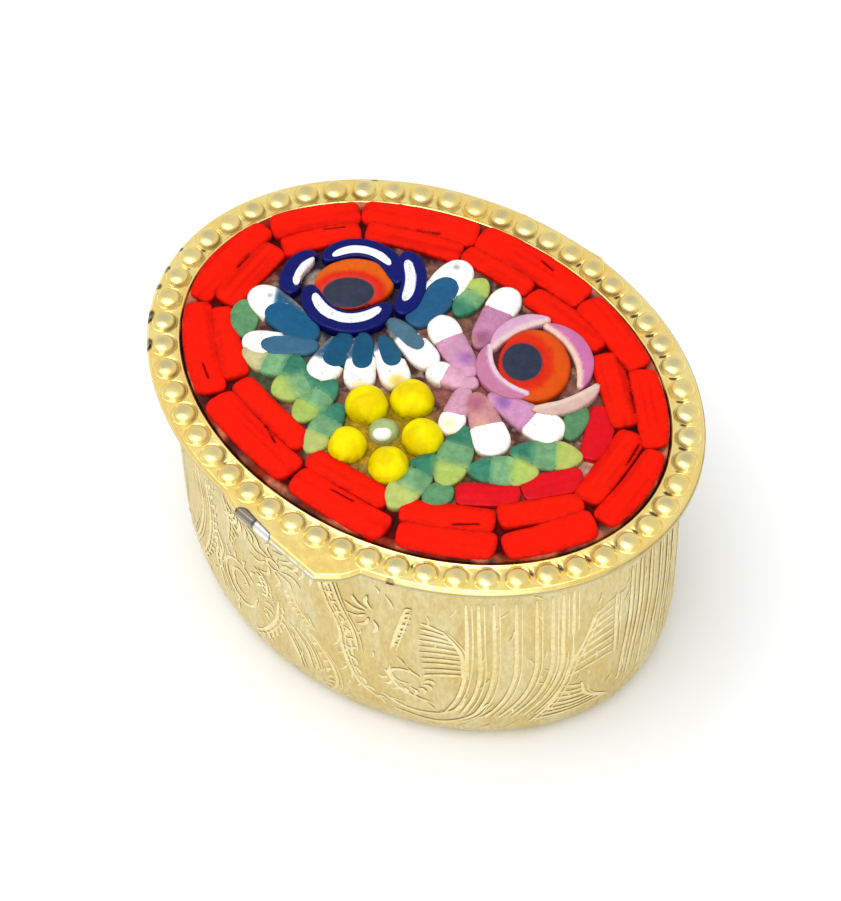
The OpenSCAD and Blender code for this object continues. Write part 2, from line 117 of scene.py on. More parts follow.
def blend(a, b, share):
    """Colours a turned into b by each point's share."""
    return a + (np.asarray(b, float) - a) * share[:, None]


def distance(xy, place):
    """Distance of points from a place, seen from above."""
    return np.hypot(xy[:, 0] - place[0], xy[:, 1] - place[1])


def running_length(p):
    """Length along a path up to each of its points."""
    return np.concatenate([[0], np.cumsum(np.linalg.norm(np.diff(p, axis=0), axis=1))])


def at_lengths(p, run, at):
    """Points of a path at given running lengths."""
    return np.stack([np.interp(at, run, p[:, k]) for k in (0, 1)], 1)


def onward(p):
    """Each point's successor round a closed loop."""
    return np.roll(p, -1, axis=0)


def add_object(name, data):
    o = bpy.data.objects.new(name, data)
    bpy.context.scene.collection.objects.link(o)
    return o


def mesh_object(name, points, faces, material, body, replaced=(), attributes=None):
    """A smooth-shaded piece from points in millimetres, riding on a body."""
    mesh = bpy.data.meshes.new(name)
    mesh.from_pydata((np.asarray(points) * MM).tolist(), [], faces)
    mesh.shade_smooth()
    for key, values in (attributes or {}).items():
        values = np.asarray(values, np.float32)
        if values.ndim == 1:
            mesh.attributes.new(key, "FLOAT", "POINT").data.foreach_set("value", values)
        else:
            mesh.attributes.new(key, "FLOAT_COLOR", "POINT").data.foreach_set("color", values.ravel())
    mesh.materials.append(material)
    piece = add_object(name, mesh)
    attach(piece, body)
    if replaced:
        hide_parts(*replaced)


def grid_faces(rows, columns, start=0, closed=True):
    """Quads between the rows of a grid of points; in a closed one the last column joins the first."""
    r, c = np.meshgrid(np.arange(rows - 1), np.arange(columns if closed else columns - 1), indexing="ij")
    n = (c + 1) % columns
    quads = np.stack([r * columns + c, r * columns + n, (r + 1) * columns + n, (r + 1) * columns + c], -1)
    return (quads.reshape(-1, 4) + start).tolist()


def caps(rows, columns):
    """The two faces that close the first and the last row of a closed grid."""
    return [list(range(columns))[::-1], [(rows - 1) * columns + c for c in range(columns)]]


# ---- materials


def linear(screen):
    """Linear light from 0-255 screen values."""
    v = np.asarray(screen, float) / 255
    return np.where(v > 0.04, ((v + 0.055) / 1.055) ** 2.4, v / 12.92)


def ink(*screen):
    """One screen colour as a node takes it."""
    return (*linear(screen).tolist(), 1.0)


def rgba(rows):
    """Rows of screen colours as linear RGBA."""
    return np.column_stack([linear(rows), np.ones(len(rows))])


class Shader:
    """A material being built: short calls for the nodes that these finishes share."""

    def __init__(self, name, stretch=(1, 1, 1)):
        self.material = bpy.data.materials.new(name)
        self.material.use_nodes = True
        self.tree = self.material.node_tree
        self.tree.nodes.clear()
        out = self.add("ShaderNodeOutputMaterial")
        self.skin = self.add("ShaderNodeBsdfPrincipled")
        self.feed(out.inputs["Surface"], self.skin.outputs[0])
        place = self.add("ShaderNodeTexCoord").outputs["Object"]
        per_mm = [s / MM for s in stretch]
        self.space = self.add("ShaderNodeMapping", {"Scale": per_mm, "Vector": place}).outputs[0]

    def add(self, kind, inputs=None, **settings):
        """A new node with its settings made and its inputs fed."""
        node = self.tree.nodes.new(kind)
        for key, value in settings.items():
            setattr(node, key, value)
        for key, value in (inputs or {}).items():
            self.feed(node.inputs[key], value)
        return node

    def feed(self, socket, value):
        """Give a socket a number or a colour, or link it to another node's output."""
        if isinstance(value, bpy.types.NodeSocket):
            self.tree.links.new(value, socket)
        else:
            socket.default_value = value

    def set(self, **values):
        """Feed the skin's own sockets; an underscore stands for a space."""
        for key, value in values.items():
            self.feed(self.skin.inputs[key.replace("_", " ")], value)

    def noise(self, per_mm, detail=4, rough=0.55, warp=0.0):
        inputs = {"Scale": per_mm, "Detail": detail, "Roughness": rough, "Distortion": warp,
                  "Vector": self.space}
        return self.add("ShaderNodeTexNoise", inputs).outputs["Fac"]

    def attribute(self, name, output="Fac"):
        return self.add("ShaderNodeAttribute", attribute_name=name).outputs[output]

    def shade(self, colour, value):
        """A colour made lighter or darker by a varying value near 1."""
        return self.add("ShaderNodeHueSaturation", {"Color": colour, "Value": value}).outputs[0]

    def map(self, value, low, high, to_low=0.0, to_high=1.0):
        inputs = {"Value": value, "From Min": low, "From Max": high, "To Min": to_low, "To Max": to_high}
        return self.add("ShaderNodeMapRange", inputs, interpolation_type="SMOOTHSTEP").outputs["Result"]

    def multiply(self, a, b):
        return self.add("ShaderNodeMath", {0: a, 1: b}, operation="MULTIPLY").outputs[0]

    def mix(self, share, a, b):
        """Two colours mixed by a share."""
        return self.add("ShaderNodeMix", {0: share, 6: a, 7: b}, data_type="RGBA").outputs[2]

    def bump(self, height, depth_mm):
        """Relief on top of what the skin already has."""
        normal = self.skin.inputs["Normal"]
        n = self.add("ShaderNodeBump", {"Distance": depth_mm * MM, "Height": height})
        if normal.is_linked:
            self.feed(n.inputs["Normal"], normal.links[0].from_socket)
        self.feed(normal, n.outputs[0])


# Colours of the marks painted on the lid's frame, in the order in which they cover each other. The grime
# also holds painted shade in the bead grooves and a painted shadow line on the outer edge, and the wear on
# the bead crowns is partly a painted grey reflection.
MARKS = {"worn": (200, 190, 150), "grime_and_shade": (122, 96, 36), "steel": (150, 142, 126), "bare": (244, 240, 232),
         "black": (58, 42, 40)}
TARNISH = (150, 120, 62)


def gilt(name, bright, dull, smooth, worn, grain=0.0, stretch=(1, 1, 1), painted=False):
    """Thin gold plating: broad colour drift, small tarnish specks, fine handling marks. A painted one also
    shows the marks, among them painted shade and a painted reflection, and is less of a metal where its
    grime and painted shade lie."""
    s = Shader(name, stretch)
    s.set(Metallic=1.0)
    base = s.mix(s.map(s.noise(0.22, 3), 0.35, 0.65), ink(*bright), ink(*dull))
    base = s.mix(s.map(s.noise(2.6, 5, 0.7), 0.66, 0.78, 0.0, 0.55), base, ink(*TARNISH))
    if grain:
        base = s.shade(base, s.map(s.noise(2.2, 5, 0.7), 0.32, 0.68, 1 - 0.14 * grain, 1 + 0.06 * grain))
    if painted:
        # the marks include grime with painted shade, and wear that is partly a painted grey reflection
        for mark, colour in MARKS.items():
            base = s.mix(s.attribute(mark), base, ink(*colour))
        s.set(Metallic=s.map(s.attribute("grime_and_shade"), 0.0, 0.6, 1.0, 0.08))
    s.set(Base_Color=base, Roughness=s.map(s.noise(1.3, 5, 0.65), 0.3, 0.7, smooth, worn))
    s.bump(s.noise(0.9, 2), 0.02 + grain * 0.02)
    s.bump(s.noise(7.0, 4, 0.7), 0.003 + grain * 0.012)
    return s.material


def opaque_glass(name, shine=0.25, dirt_and_shade=(120, 96, 66), dirt_and_shade_amount=0.35, pits=0.0, mottle=0.1, gloss=0.35):
    """Cut opaque glass in the colour painted on each piece, with lighter and darker streaks, dirt and painted
    shade along its rim and over its sides, dark cracks, and small pits."""
    s = Shader(name)
    s.set(Specular_IOR_Level=gloss)
    streak = s.map(s.noise(1.1, 4, 0.6, 0.6), 0.36, 0.66, 1 - mottle, 1 + mottle / 2)
    body = s.shade(s.attribute("paint", "Color"), streak)
    body = s.shade(body, s.map(s.noise(3.4, 3, 0.6), 0.35, 0.7, 1 - mottle / 2, 1 + mottle / 3))
    # dirt and painted shade, in patches, along the free rim and over the sides
    patches = s.map(s.noise(1.9, 4, 0.6), 0.4, 0.66, dirt_and_shade_amount / 4, dirt_and_shade_amount)
    body = s.mix(s.multiply(s.attribute("rim"), patches), body, ink(*dirt_and_shade))
    if pits:
        clusters = s.map(s.noise(0.7, 1), 0.45, 0.6)
        holes = s.multiply(clusters, s.map(s.noise(4.6, 2, 0.5), 0.63, 0.7, 0.0, pits))
        body = s.mix(holes, body, ink(150, 146, 138))
    body = s.mix(s.attribute("crack"), body, ink(dirt_and_shade[0] * 0.8, dirt_and_shade[1] * 0.5, dirt_and_shade[2] * 0.5))
    s.set(Base_Color=body, Roughness=s.map(s.noise(2.2, 4, 0.6), 0.3, 0.7, shine, shine + 0.22))
    s.bump(s.noise(2.4, 3), 0.03)
    s.bump(s.noise(12.0, 3, 0.7), 0.004)
    return s.material


def cement_material():
    """Lumpy cement in the colours painted on it, with darker grime in patches."""
    s = Shader("cement")
    s.set(Specular_IOR_Level=0.1)
    lumps = s.map(s.noise(1.6, 5, 0.65), 0.35, 0.65, 0.6, 1.1)
    body = s.shade(s.attribute("paint", "Color"), lumps)
    body = s.mix(s.map(s.noise(2.4, 4, 0.7), 0.58, 0.68, 0.0, 0.5), body, ink(50, 20, 16))
    s.set(Base_Color=body, Roughness=s.map(s.noise(3.0, 4), 0.3, 0.7, 0.6, 0.9))
    s.bump(s.noise(5.0, 5, 0.7), 0.06)
    return s.material


polished_gilt = gilt("polished_gilt", (255, 232, 150), (255, 220, 126), 0.2, 0.34, painted=True)
bright_gilt = gilt("bright_gilt", (250, 220, 135), (235, 198, 112), 0.16, 0.32)
inner_gilt = gilt("inner_gilt", (244, 214, 134), (226, 190, 110), 0.22, 0.4, grain=0.3)
satin_gilt = gilt("satin_gilt", (222, 208, 158), (216, 194, 128), 0.38, 0.56, 1.0, (1.6, 1.6, 0.5))
engraved_gilt = gilt("engraved_gilt", (244, 231, 182), (236, 218, 156), 0.42, 0.58, grain=0.9)
pin_gilt = gilt("pin_gilt", (214, 190, 130), (186, 160, 100), 0.25, 0.4)
tray_brass = gilt("tray_brass", (170, 140, 84), (140, 112, 66), 0.4, 0.6)

# For each glass, the colour and amount that stand for dirt and painted shade on the rims and sides of its
# pieces
GLASS = {
    "border_red": dict(dirt_and_shade=(96, 8, 4), dirt_and_shade_amount=0.75, shine=0.42, mottle=0.08, gloss=0.05),
    "crimson_glass": dict(dirt_and_shade=(110, 8, 10), dirt_and_shade_amount=0.6, mottle=0.06, gloss=0.12),
    "navy_glass": dict(shine=0.12, dirt_and_shade=(30, 20, 40), gloss=0.16),
    "white_glass": dict(pits=0.85, dirt_and_shade=(206, 160, 96), dirt_and_shade_amount=0.95, mottle=0.03, gloss=0.2),
    "steel_blue_glass": dict(dirt_and_shade=(60, 80, 78), dirt_and_shade_amount=0.8, gloss=0.15),
    "slate_glass": dict(dirt_and_shade=(90, 50, 56), mottle=0.14, gloss=0.18),
    "vermilion_glass": dict(dirt_and_shade=(160, 50, 10), gloss=0.12),
    "orange_glass": dict(dirt_and_shade=(130, 64, 10), gloss=0.12),
    "pink_glass": dict(dirt_and_shade=(170, 100, 96), dirt_and_shade_amount=0.55, mottle=0.06, gloss=0.18),
    "lilac_glass": dict(dirt_and_shade=(150, 84, 84), dirt_and_shade_amount=0.75, mottle=0.14, gloss=0.15),
    "yellow_glass": dict(dirt_and_shade=(128, 100, 0), dirt_and_shade_amount=0.95, shine=0.3, mottle=0.06, gloss=0.05),
    "pale_green_glass": dict(dirt_and_shade=(120, 112, 40), dirt_and_shade_amount=0.6, gloss=0.2),
    "yellow_green_glass": dict(dirt_and_shade=(160, 130, 60), dirt_and_shade_amount=0.65, gloss=0.15),
    "green_glass": dict(dirt_and_shade=(84, 96, 50), dirt_and_shade_amount=0.6, mottle=0.18, gloss=0.15),
    "teal_glass": dict(dirt_and_shade=(60, 80, 44), dirt_and_shade_amount=0.6, mottle=0.2, gloss=0.15),
}
glass_material = {key: opaque_glass(key, **values) for key, values in GLASS.items()}


# ---- cup

cup_w = np.linspace(-np.pi / 2, 1.5 * np.pi, 4097)
cup_run = running_length(np.stack([CUP_A * np.cos(cup_w), CUP_B * np.sin(cup_w)], 1))
CUP_AROUND = cup_run[-1]


def cup_inset(z):
    """How far the cup's outer wall lies inside its mouth oval at height z."""
    lower = np.clip(z / ROUND_H, 0, 1)
    return TAPER * (1 - z / CUP_TOP) + ROUND_W * (1 - np.sqrt(1 - (1 - lower) ** 2))


def cup_point(s, z, lift):
    """Point lifted off the cup's outer wall: s along the mouth from the front centre towards +X, z up."""
    w = np.interp(np.mod(s, CUP_AROUND), cup_run, cup_w)
    inset = cup_inset(z)
    dz = 0.01
    slope = (cup_inset(z + dz) - cup_inset(z - dz)) / (2 * dz)
    out = np.stack([np.cos(w) / CUP_A, np.sin(w) / CUP_B], -1)
    out /= np.linalg.norm(out, axis=-1, keepdims=True)
    up = 1 / np.sqrt(1 + slope ** 2)
    x = (CUP_A - inset) * np.cos(w) + out[..., 0] * lift * up
    y = (CUP_B - inset) * np.sin(w) + out[..., 1] * lift * up
    return np.stack([x, y, z + lift * up * slope], -1)


def cup_profile():
    """The wall as (inset, height) pairs: along the base, up, over the lip, down and along the floor."""
    middle = CUP_B * 0.97
    outer_z = np.concatenate([ROUND_H * (1 - np.cos(np.linspace(0, np.pi / 2, 22))),
                              np.linspace(ROUND_H, CUP_TOP - LIP, 50)[1:]])
    outer = [(cup_inset(z), z) for z in outer_z]
    base = [(k, 0.0) for k in np.linspace(middle, outer[0][0] + 0.25, 8)]
    lip = [(WALL / 2 * (1 - math.cos(a)), CUP_TOP - LIP * (1 - math.sin(a)))
           for a in np.linspace(0.2, 2.94, 7)]
    inner = [(cup_inset(z) + WALL, WALL + z * (1 - WALL / ROUND_H) if z < ROUND_H else z)
             for z in outer_z[::-1][3::3]]
    floor = [(k, WALL) for k in np.linspace(inner[-1][0] + 0.3, middle, 8)]
    return np.array(base + outer + lip + inner + floor)


def cup():
    columns = 480
    profile = cup_profile()
    w = np.arange(columns) / columns * 2 * np.pi
    inset, z = profile[:, 0][:, None], profile[:, 1][:, None]
    points = np.stack([(CUP_A - inset) * np.cos(w), (CUP_B - inset) * np.sin(w), z + 0 * w], -1)
    points = points.reshape(-1, 3)
    # hand-finished sheet: the wall is a little wavy, never outside the mouth oval
    wave = noise(points, 6.0, 11) * 0.05 + noise(points, 2.2, 12) * 0.015
    side = ramp(points[:, 2], 0.4, 3.0) * (1 - ramp(points[:, 2], CUP_TOP - 1.5, CUP_TOP - 0.3))
    points[:, :2] *= (1 + (wave - 0.04) * side / CUP_B)[:, None]
    faces = grid_faces(len(profile), columns) + caps(len(profile), columns)
    mesh_object("cup_wall", points, faces, satin_gilt, "box", ["cup_shell"])


# ---- the chased pattern on the cup: raised strokes, given as (s, z) points on the wall


def smooth_path(points, step=0.35):
    """A smooth curve through a few points, resampled evenly."""
    p = np.array(points, float)
    ends = np.vstack([2 * p[0] - p[1], p, 2 * p[-1] - p[-2]])
    t = np.linspace(0, 1, 12, endpoint=False)[:, None]
    out = []
    for a, b, c, d in zip(ends, ends[1:], ends[2:], ends[3:]):
        bend = (2 * a - 5 * b + 4 * c - d) * t ** 2 + (3 * b - a - 3 * c + d) * t ** 3
        out.append(0.5 * (2 * b + (c - a) * t + bend))
    path = np.vstack(out + [p[-1:]])
    run = running_length(path)
    return at_lengths(path, run, np.linspace(0, run[-1], max(int(run[-1] / step) + 1, 4)))


def ladder(left, right, count, droop, both_sides):
    """Rungs between two curves, with the right curve or both of them drawn."""
    p, q = smooth_path(left, 0.1), smooth_path(right, 0.1)
    strokes = [left, right] if both_sides else [right]
    for t in (np.arange(count) + 0.5) / count:
        a, b = p[int(t * (len(p) - 1))], q[int(t * (len(q) - 1))]
        strokes.append([a, (a + b) / 2 + [0, droop], b])
    return strokes


def feather(stem, barbs, length, lean, curl=0.25):
    """A stem with barbs leaning off one side of it: lean is their angle from the stem, in degrees."""
    path = smooth_path(stem, 0.1)
    strokes = [stem]
    for t in (np.arange(barbs) + 0.7) / barbs:
        i = min(int(t * (len(path) - 1)), len(path) - 2)
        along = path[i + 1] - path[i]
        turn = math.atan2(along[1], along[0]) + math.radians(lean)
        reach = length * (0.55 + 0.45 * math.sin(math.pi * t))
        tip = path[i] + reach * np.array([math.cos(turn), math.sin(turn)])
        side = np.array([-math.sin(turn), math.cos(turn)]) * curl * reach
        start = path[i] + (tip - path[i]) * 0.15
        strokes.append([start, (start + tip) / 2 + side, tip])
    return strokes


def blossom(centre, petals, inner, outer, start, sweep, bend=0.3):
    """Petals as strokes round a centre, from a start angle over a sweep in degrees."""
    strokes = []
    for a in np.radians(start + sweep * np.arange(petals) / petals):
        d, n = np.array([math.cos(a), math.sin(a)]), np.array([-math.sin(a), math.cos(a)])
        strokes.append([centre + d * inner, centre + d * (inner + outer) / 2 + n * bend, centre + d * outer])
    return strokes


def arc(centre, half_w, half_h, start, end, points=9):
    return [(centre[0] + half_w * math.cos(a), centre[1] + half_h * math.sin(a))
            for a in np.linspace(start, end, points)]


# Long curves sweeping down to the left: s at the top, at the bend and at the foot
SHEAF = [(13.4, 13.2, 11.4), (14.3, 14.3, 12.6), (15.4, 15.3, 13.6), (17.0, 16.9, 14.6), (18.5, 18.4, 15.6),
         (19.7, 19.6, 16.6), (20.5, 20.4, 17.4), (21.3, 21.2, 18.4)]
# Plainer ones to the right of the fern: s at the top and at the foot
PLAIN_SHEAF = [(26.4, 25.2), (27.4, 26.0), (28.6, 27.2), (30.0, 28.4), (31.2, 29.8), (32.4, 31.0)]
# Fern with slanted rungs, the fan below it, and a half fern on the left of the sheaf
LADDERS = [
    ([(23.3, 15.5), (22.1, 12.0), (21.0, 9.3), (20.6, 7.6)], [(24.9, 16.5), (24.9, 12.0), (24.8, 8.6)],
     8, 0.15, True),
    ([(20.6, 7.4), (19.6, 5.2), (18.0, 2.8)], [(22.0, 6.8), (22.4, 5.0), (24.2, 3.2)], 7, -0.15, True),
    ([(10.0, 16.5), (9.8, 12.5), (10.1, 8.8)], [(11.6, 15.6), (12.9, 12.8), (13.0, 9.4)], 10, 0.1, False)]
FEATHERS = [
    ([(8.9, 17.6), (8.2, 14.4), (7.6, 11.8)], 7, 1.3, 150),
    # stems between the scrolls, with feathers on both sides
    ([(1.8, 18.5), (2.5, 15.0), (3.4, 12.2), (3.6, 9.6), (4.6, 6.0), (6.4, 4.2)], 12, 1.5, 35),
    ([(2.9, 18.6), (3.6, 15.4), (4.6, 12.4), (4.9, 10.0)], 8, 1.4, -38, -0.2),
    ([(0.4, 9.8), (1.6, 8.0), (2.6, 6.0), (2.8, 3.8), (2.0, 1.8)], 9, 1.2, -45, -0.2),
    # beside the paisley ring
    ([(-2.2, 10.8), (-2.6, 8.0), (-4.0, 5.2), (-5.4, 3.6)], 9, 1.3, 40),
    ([(-0.9, 13.8), (-0.2, 11.8), (0.9, 10.2)], 7, 1.2, -55, -0.2),
    ([(-4.2, 13.2), (-3.4, 11.9), (-3.4, 10.4)], 5, 1.0, -130, 0.2),
    # long stems further left
    ([(-10.2, 19.0), (-10.0, 14.0), (-11.0, 9.0), (-12.8, 5.0)], 13, 1.5, 140, -0.15),
    ([(-11.4, 18.0), (-11.2, 13.6), (-12.4, 9.0), (-14.2, 5.4)], 12, 1.6, -140, 0.15),
    ([(-15.4, 18.6), (-15.4, 12.6), (-16.6, 6.4)], 13, 1.5, -145, 0.1),
    ([(-19.0, 17.6), (-19.2, 11.0), (-20.6, 6.0)], 12, 1.6, -145, 0.1),
    ([(-7.6, 18.8), (-7.2, 16.4), (-7.6, 13.2)], 7, 1.4, 35, 0.2)]
# Petals round the scroll, fans under the tab, buds, and short strokes outside the paisley ring
BLOSSOMS = [((8.6, 8.4), 9, 1.5, 2.3, 200, 200), ((0.6, 19.4), 7, 1.2, 3.6, 215, 110, 0.4),
            ((6.4, 15.6), 6, 0.7, 2.4, 100, 200), ((-2.4, 15.4), 10, 0.8, 2.7, 20, 360, 0.5),
            ((-6.5, 8.8), 14, 2.7, 3.7, -30, 250, 0.15), ((-5.6, 18.6), 6, 0.9, 2.8, 220, 110),
            ((-17.4, 4.4), 8, 0.9, 2.4, 10, 300)]
# The scroll's eye, the middle of a bud, and the paisley ring
ARCS = [((8.6, 8.4), 1.2, 0.9, 0.3, 5.0), ((-2.4, 15.4), 0.6, 0.6, 0, 5.6, 7),
        ((-6.5, 8.8), 1.9, 2.6, 0.6, 6.2), ((-6.5, 8.8), 1.0, 1.5, 0.2, 5.2, 8)]
# Scrolls at the foot, then curves beside the ring and at the far left
CURVES = [
    [(6.6, 5.4), (8.6, 4.0), (11.0, 4.0), (12.6, 5.2), (13.2, 6.8)],
    [(7.6, 3.4), (10.8, 2.6), (13.2, 3.8), (14.8, 6.0)], [(7.0, 8.8), (8.2, 6.6), (10.2, 5.6)],
    [(-1.2, 8.8), (0.1, 6.8), (0.7, 4.2)], [(-0.6, 9.0), (0.7, 7.0), (1.3, 4.6)],
    [(-1.9, 8.2), (-0.8, 5.6), (-0.4, 3.2)], [(-9.2, 12.8), (-8.6, 11.0), (-9.2, 8.4), (-8.2, 5.6)],
    [(-9.9, 12.2), (-9.4, 10.6), (-9.8, 8.2), (-9.0, 5.2)], [(-21.6, 17.6), (-21.2, 12.0), (-22.2, 7.2)],
    [(-22.6, 16.4), (-22.4, 11.6), (-23.4, 6.6)]]


def pattern():
    """One repeat of the pattern: sheaves of curves, ferns with rungs, scrolls, feathers and buds."""
    strokes = [[(top, 19.5), (top, 14.0), (bend, 10.0), ((bend * 2 + foot) / 3, 6.8), (foot, 4.0)]
               for top, bend, foot in SHEAF]
    strokes += [[(top, 18.5), (top - 0.1, 12.5), ((top + foot) / 2 - 0.1, 8.0), (foot, 4.6)]
                for top, foot in PLAIN_SHEAF]
    strokes += CURVES + [arc(*row) for row in ARCS]
    for draw, rows in ((ladder, LADDERS), (feather, FEATHERS), (blossom, BLOSSOMS)):
        for row in rows:
            strokes += draw(*row)
    return strokes


def engraving():
    """Every stroke as a low rounded ridge that follows the wall."""
    strokes = [(stroke, STROKE_W) for stroke in pattern()]
    # a finer line beside each long stroke, and small flecks over the ground between them
    strokes += [([(x + 0.42, z - 0.1) for x, z in stroke], FINE_W) for stroke, _ in strokes
                if abs(stroke[0][1] - stroke[-1][1]) > 2.5]
    rng = np.random.default_rng(8)
    for _ in range(170):
        x, z = rng.uniform(0, CUP_AROUND / 2), rng.uniform(1.2, 20.0)
        lean = 0.5 * math.sin(x * 0.55) + rng.normal(0, 0.35)
        d = np.array([math.sin(lean), math.cos(lean)]) * rng.uniform(0.3, 0.8)
        strokes.append(([(x - d[0], z - d[1]), (x + 0.12, z), (x + d[0], z + d[1])], FLECK_W))
    across = np.array([-1.0, -0.55, 0.0, 0.55, 1.0])
    rise = np.array([-0.1, 0.62, 1.0, 0.62, -0.1])
    points, faces, start = [], [], 0
    for shift in (0, CUP_AROUND / 2):
        for stroke, half_width in strokes:
            path = smooth_path(stroke) + [shift, 0]
            along = np.gradient(path, axis=0)
            along /= np.linalg.norm(along, axis=1, keepdims=True)
            side = np.stack([-along[:, 1], along[:, 0]], 1)
            swell = 0.35 + 0.65 * np.sin(np.pi * np.linspace(0, 1, len(path))) ** 0.5
            flat = path[:, None] + side[:, None] * (across[:, None] * (half_width * swell)[:, None, None])
            z = np.clip(flat[..., 1], 0.25, CUP_TOP - 0.4)
            lift = rise * (STROKE_H * half_width / STROKE_W * swell)[:, None]
            points.append(cup_point(flat[..., 0], z, lift).reshape(-1, 3))
            faces += grid_faces(len(path), len(across), start, closed=False)
            start += len(points[-1])
    mesh_object("cup_chasing", np.vstack(points), faces, engraved_gilt, "box")


# ---- lid frame


def even_angle(share, a, b):
    """Parameter angle of a point a share of the way round an oval, evenly spaced by length."""
    squash = (a * a - b * b) / (a * a + b * b) / 4
    return 2 * np.pi * share + squash * np.sin(4 * np.pi * share)


def tab_depth(x):
    """Front outline of the thumb tab: y for a given x, and far behind the front edge where there's no tab."""
    edge = -FLANGE_B
    out = edge - TAB_Y
    xs = np.array([-0.96, -0.95, -0.82, -TAB_TIP / TAB_ROOT, TAB_TIP / TAB_ROOT, 0.78, 0.92, 1.0, 1.06, 1.07])
    ys = edge + np.array([0, 0.6, 0.1, -TAB_OUT_LEFT, -out, -out * 0.72, -out * 0.35, 0.05, 0.65, 0])
    ys[[0, -1]] = FLANGE_B * 2
    return np.interp(x, xs * TAB_ROOT, ys)


# Blackened spots on the flange's outer edge: (x, y, radius)
EDGE_SPOTS = [(-19.9, -7.2, 0.75), (-18.4, -9.3, 0.7), (-21.0, -4.6, 0.35), (-21.6, -3.0, 0.45),
              (-21.9, -0.9, 0.3), (8.6, -15.6, 0.4), (-14.2, 13.0, 0.5)]
# Ends of the bare patch on the tab's front edge, and the worn line that runs on from it
BARE_FROM, BARE_TO, WORN_TO = (-3.4, -17.3), (-1.0, -17.7), (3.9, -18.4)


def along_segment(xy, a, b):
    """Share of the way from a to b of the nearest point, and the distance to it."""
    d = np.subtract(b, a)
    t = np.clip(((xy[:, 0] - a[0]) * d[0] + (xy[:, 1] - a[1]) * d[1]) / (d @ d), 0, 1)
    return t, np.hypot(xy[:, 0] - a[0] - t * d[0], xy[:, 1] - a[1] - t * d[1])


def rim_surface(x, y, r, reach, bead_xy, dent_xy):
    """Height of the frame's upper face, and its grime with painted shade, worn crowns partly painted grey as
    a
    reflection, and dark dents: a flange with domed beads, a groove round each, a small dent between some
    neighbours, and a raised lip on the inside."""
    d = np.full(x.shape, 9.0)
    for bx, by in bead_xy:
        d = np.minimum(d, np.hypot(x - bx, y - by))
    step, crown = 0.13, BEAD_H - 0.24
    q = np.clip(d / BEAD_R, 0, 1)
    bead = step * (1 - ramp(d, BEAD_R - 0.12, BEAD_R + 0.02)) + crown * (1 - q ** 2.8) ** 0.9
    inner_side = ramp(-r, -0.35, 0.45)
    dents = np.zeros(x.shape)
    for gx, gy, size in dent_xy:
        outwards = ((x - gx) * gx + (y - gy) * gy) / math.hypot(gx, gy)
        along = ((y - gy) * gx - (x - gx) * gy) / math.hypot(gx, gy)
        dents = np.maximum(dents, size * np.exp(-(outwards / 0.34) ** 2 - (along / 0.15) ** 2))
    lip = hump(r + 1.15, 0.14) * 0.1 - ramp(-r, 1.26, 1.4) * 0.4
    groove = hump(d - BEAD_R - 0.02, 0.08) * (0.01 + 0.08 * inner_side)
    edge = 0.22 * ramp(r - (reach - 0.3), 0.0, 0.3) ** 2
    z = FLANGE_Z + lip + bead - groove - edge - 0.12 * dents
    # grime and painted shade: a dark arc in the groove round each bead, strongest on its inner side
    grime_and_shade = hump(d - BEAD_R + 0.02, 0.11) * (0.05 + 0.95 * inner_side)
    # the worn crown of each bead, partly a painted grey reflection
    return z, grime_and_shade, 1 - ramp(d, 0.2, 0.74), ramp(dents, 0.2, 0.5)


def rim_marks(points, from_edge, grime_and_shade, worn, dents):
    """The marks painted on the frame, from what rim_surface() gives: patchy grime and wear, blackened edge
    spots, and the tab's bare patch with its dark outline. The grime also carries a painted shadow line part
    way down the outer edge and a dark line along the back of the outer edge. from_edge is each point's
    distance inside the outer edge, or -1 below the upper face."""
    patchy = np.clip(0.85 + 0.5 * noise(points, 1.3, 22), 0, 1)
    fine = 0.5 + 0.5 * noise(points, 0.3, 23)
    down = FLANGE_Z - points[:, 2]
    above = (points[:, 2] > FLANGE_LOW + 0.05).astype(float)
    black = dents * 0.9
    for *place, size in EDGE_SPOTS:
        near = 1 - ramp(distance(points, place), size * 0.6, size)
        near *= 1 - ramp(from_edge, 0.35, 0.55)
        black = np.maximum(black, near * np.clip(0.3 + 1.2 * fine, 0, 1))
    share, d = along_segment(points, BARE_FROM, BARE_TO)
    d = np.hypot(d, np.maximum(down - 0.15, 0) * 0.8) + 0.04 * (fine - 0.5) + 0.22 * share
    patch = 1 - ramp(d, 0.68, 0.74)
    outline = patch * np.maximum(ramp(d, 0.54, 0.66), hump(share - 0.46, 0.05))
    black = np.maximum(black, outline * (0.7 + 0.3 * fine))
    split = ramp(share, 0.44, 0.5)
    line = 1 - ramp(along_segment(points, BARE_TO, WORN_TO)[1], 0.04, 0.16)
    line *= ramp(fine, 0.3, 0.55) * (down < 0.32)
    outer = 1 - ramp(from_edge, 0.1, 0.4)
    # a painted shadow line part way down the outer edge
    side_line = hump(down - 0.38, 0.09) * outer * (1 - patch)
    back = (1 - ramp(from_edge, 0.02, 0.14)) * (from_edge > -0.5)
    back *= ramp(points[:, 1] + 0.35 * points[:, 0], -2.0, 3.0)
    grime_and_shade = np.maximum(grime_and_shade * patchy, np.maximum(side_line, back) * (0.75 + 0.25 * fine))
    # wear: the bead crowns, partly a painted grey reflection, and a band low on the outer edge
    worn = np.maximum(worn * 0.8 * patchy, ramp(down, 0.4, 0.5) * outer)
    marks = dict(grime_and_shade=grime_and_shade, worn=worn, black=black, steel=patch * (1 - split),
                 bare=np.clip(patch * split + line, 0, 1))
    return {key: mark * above for key, mark in marks.items()}


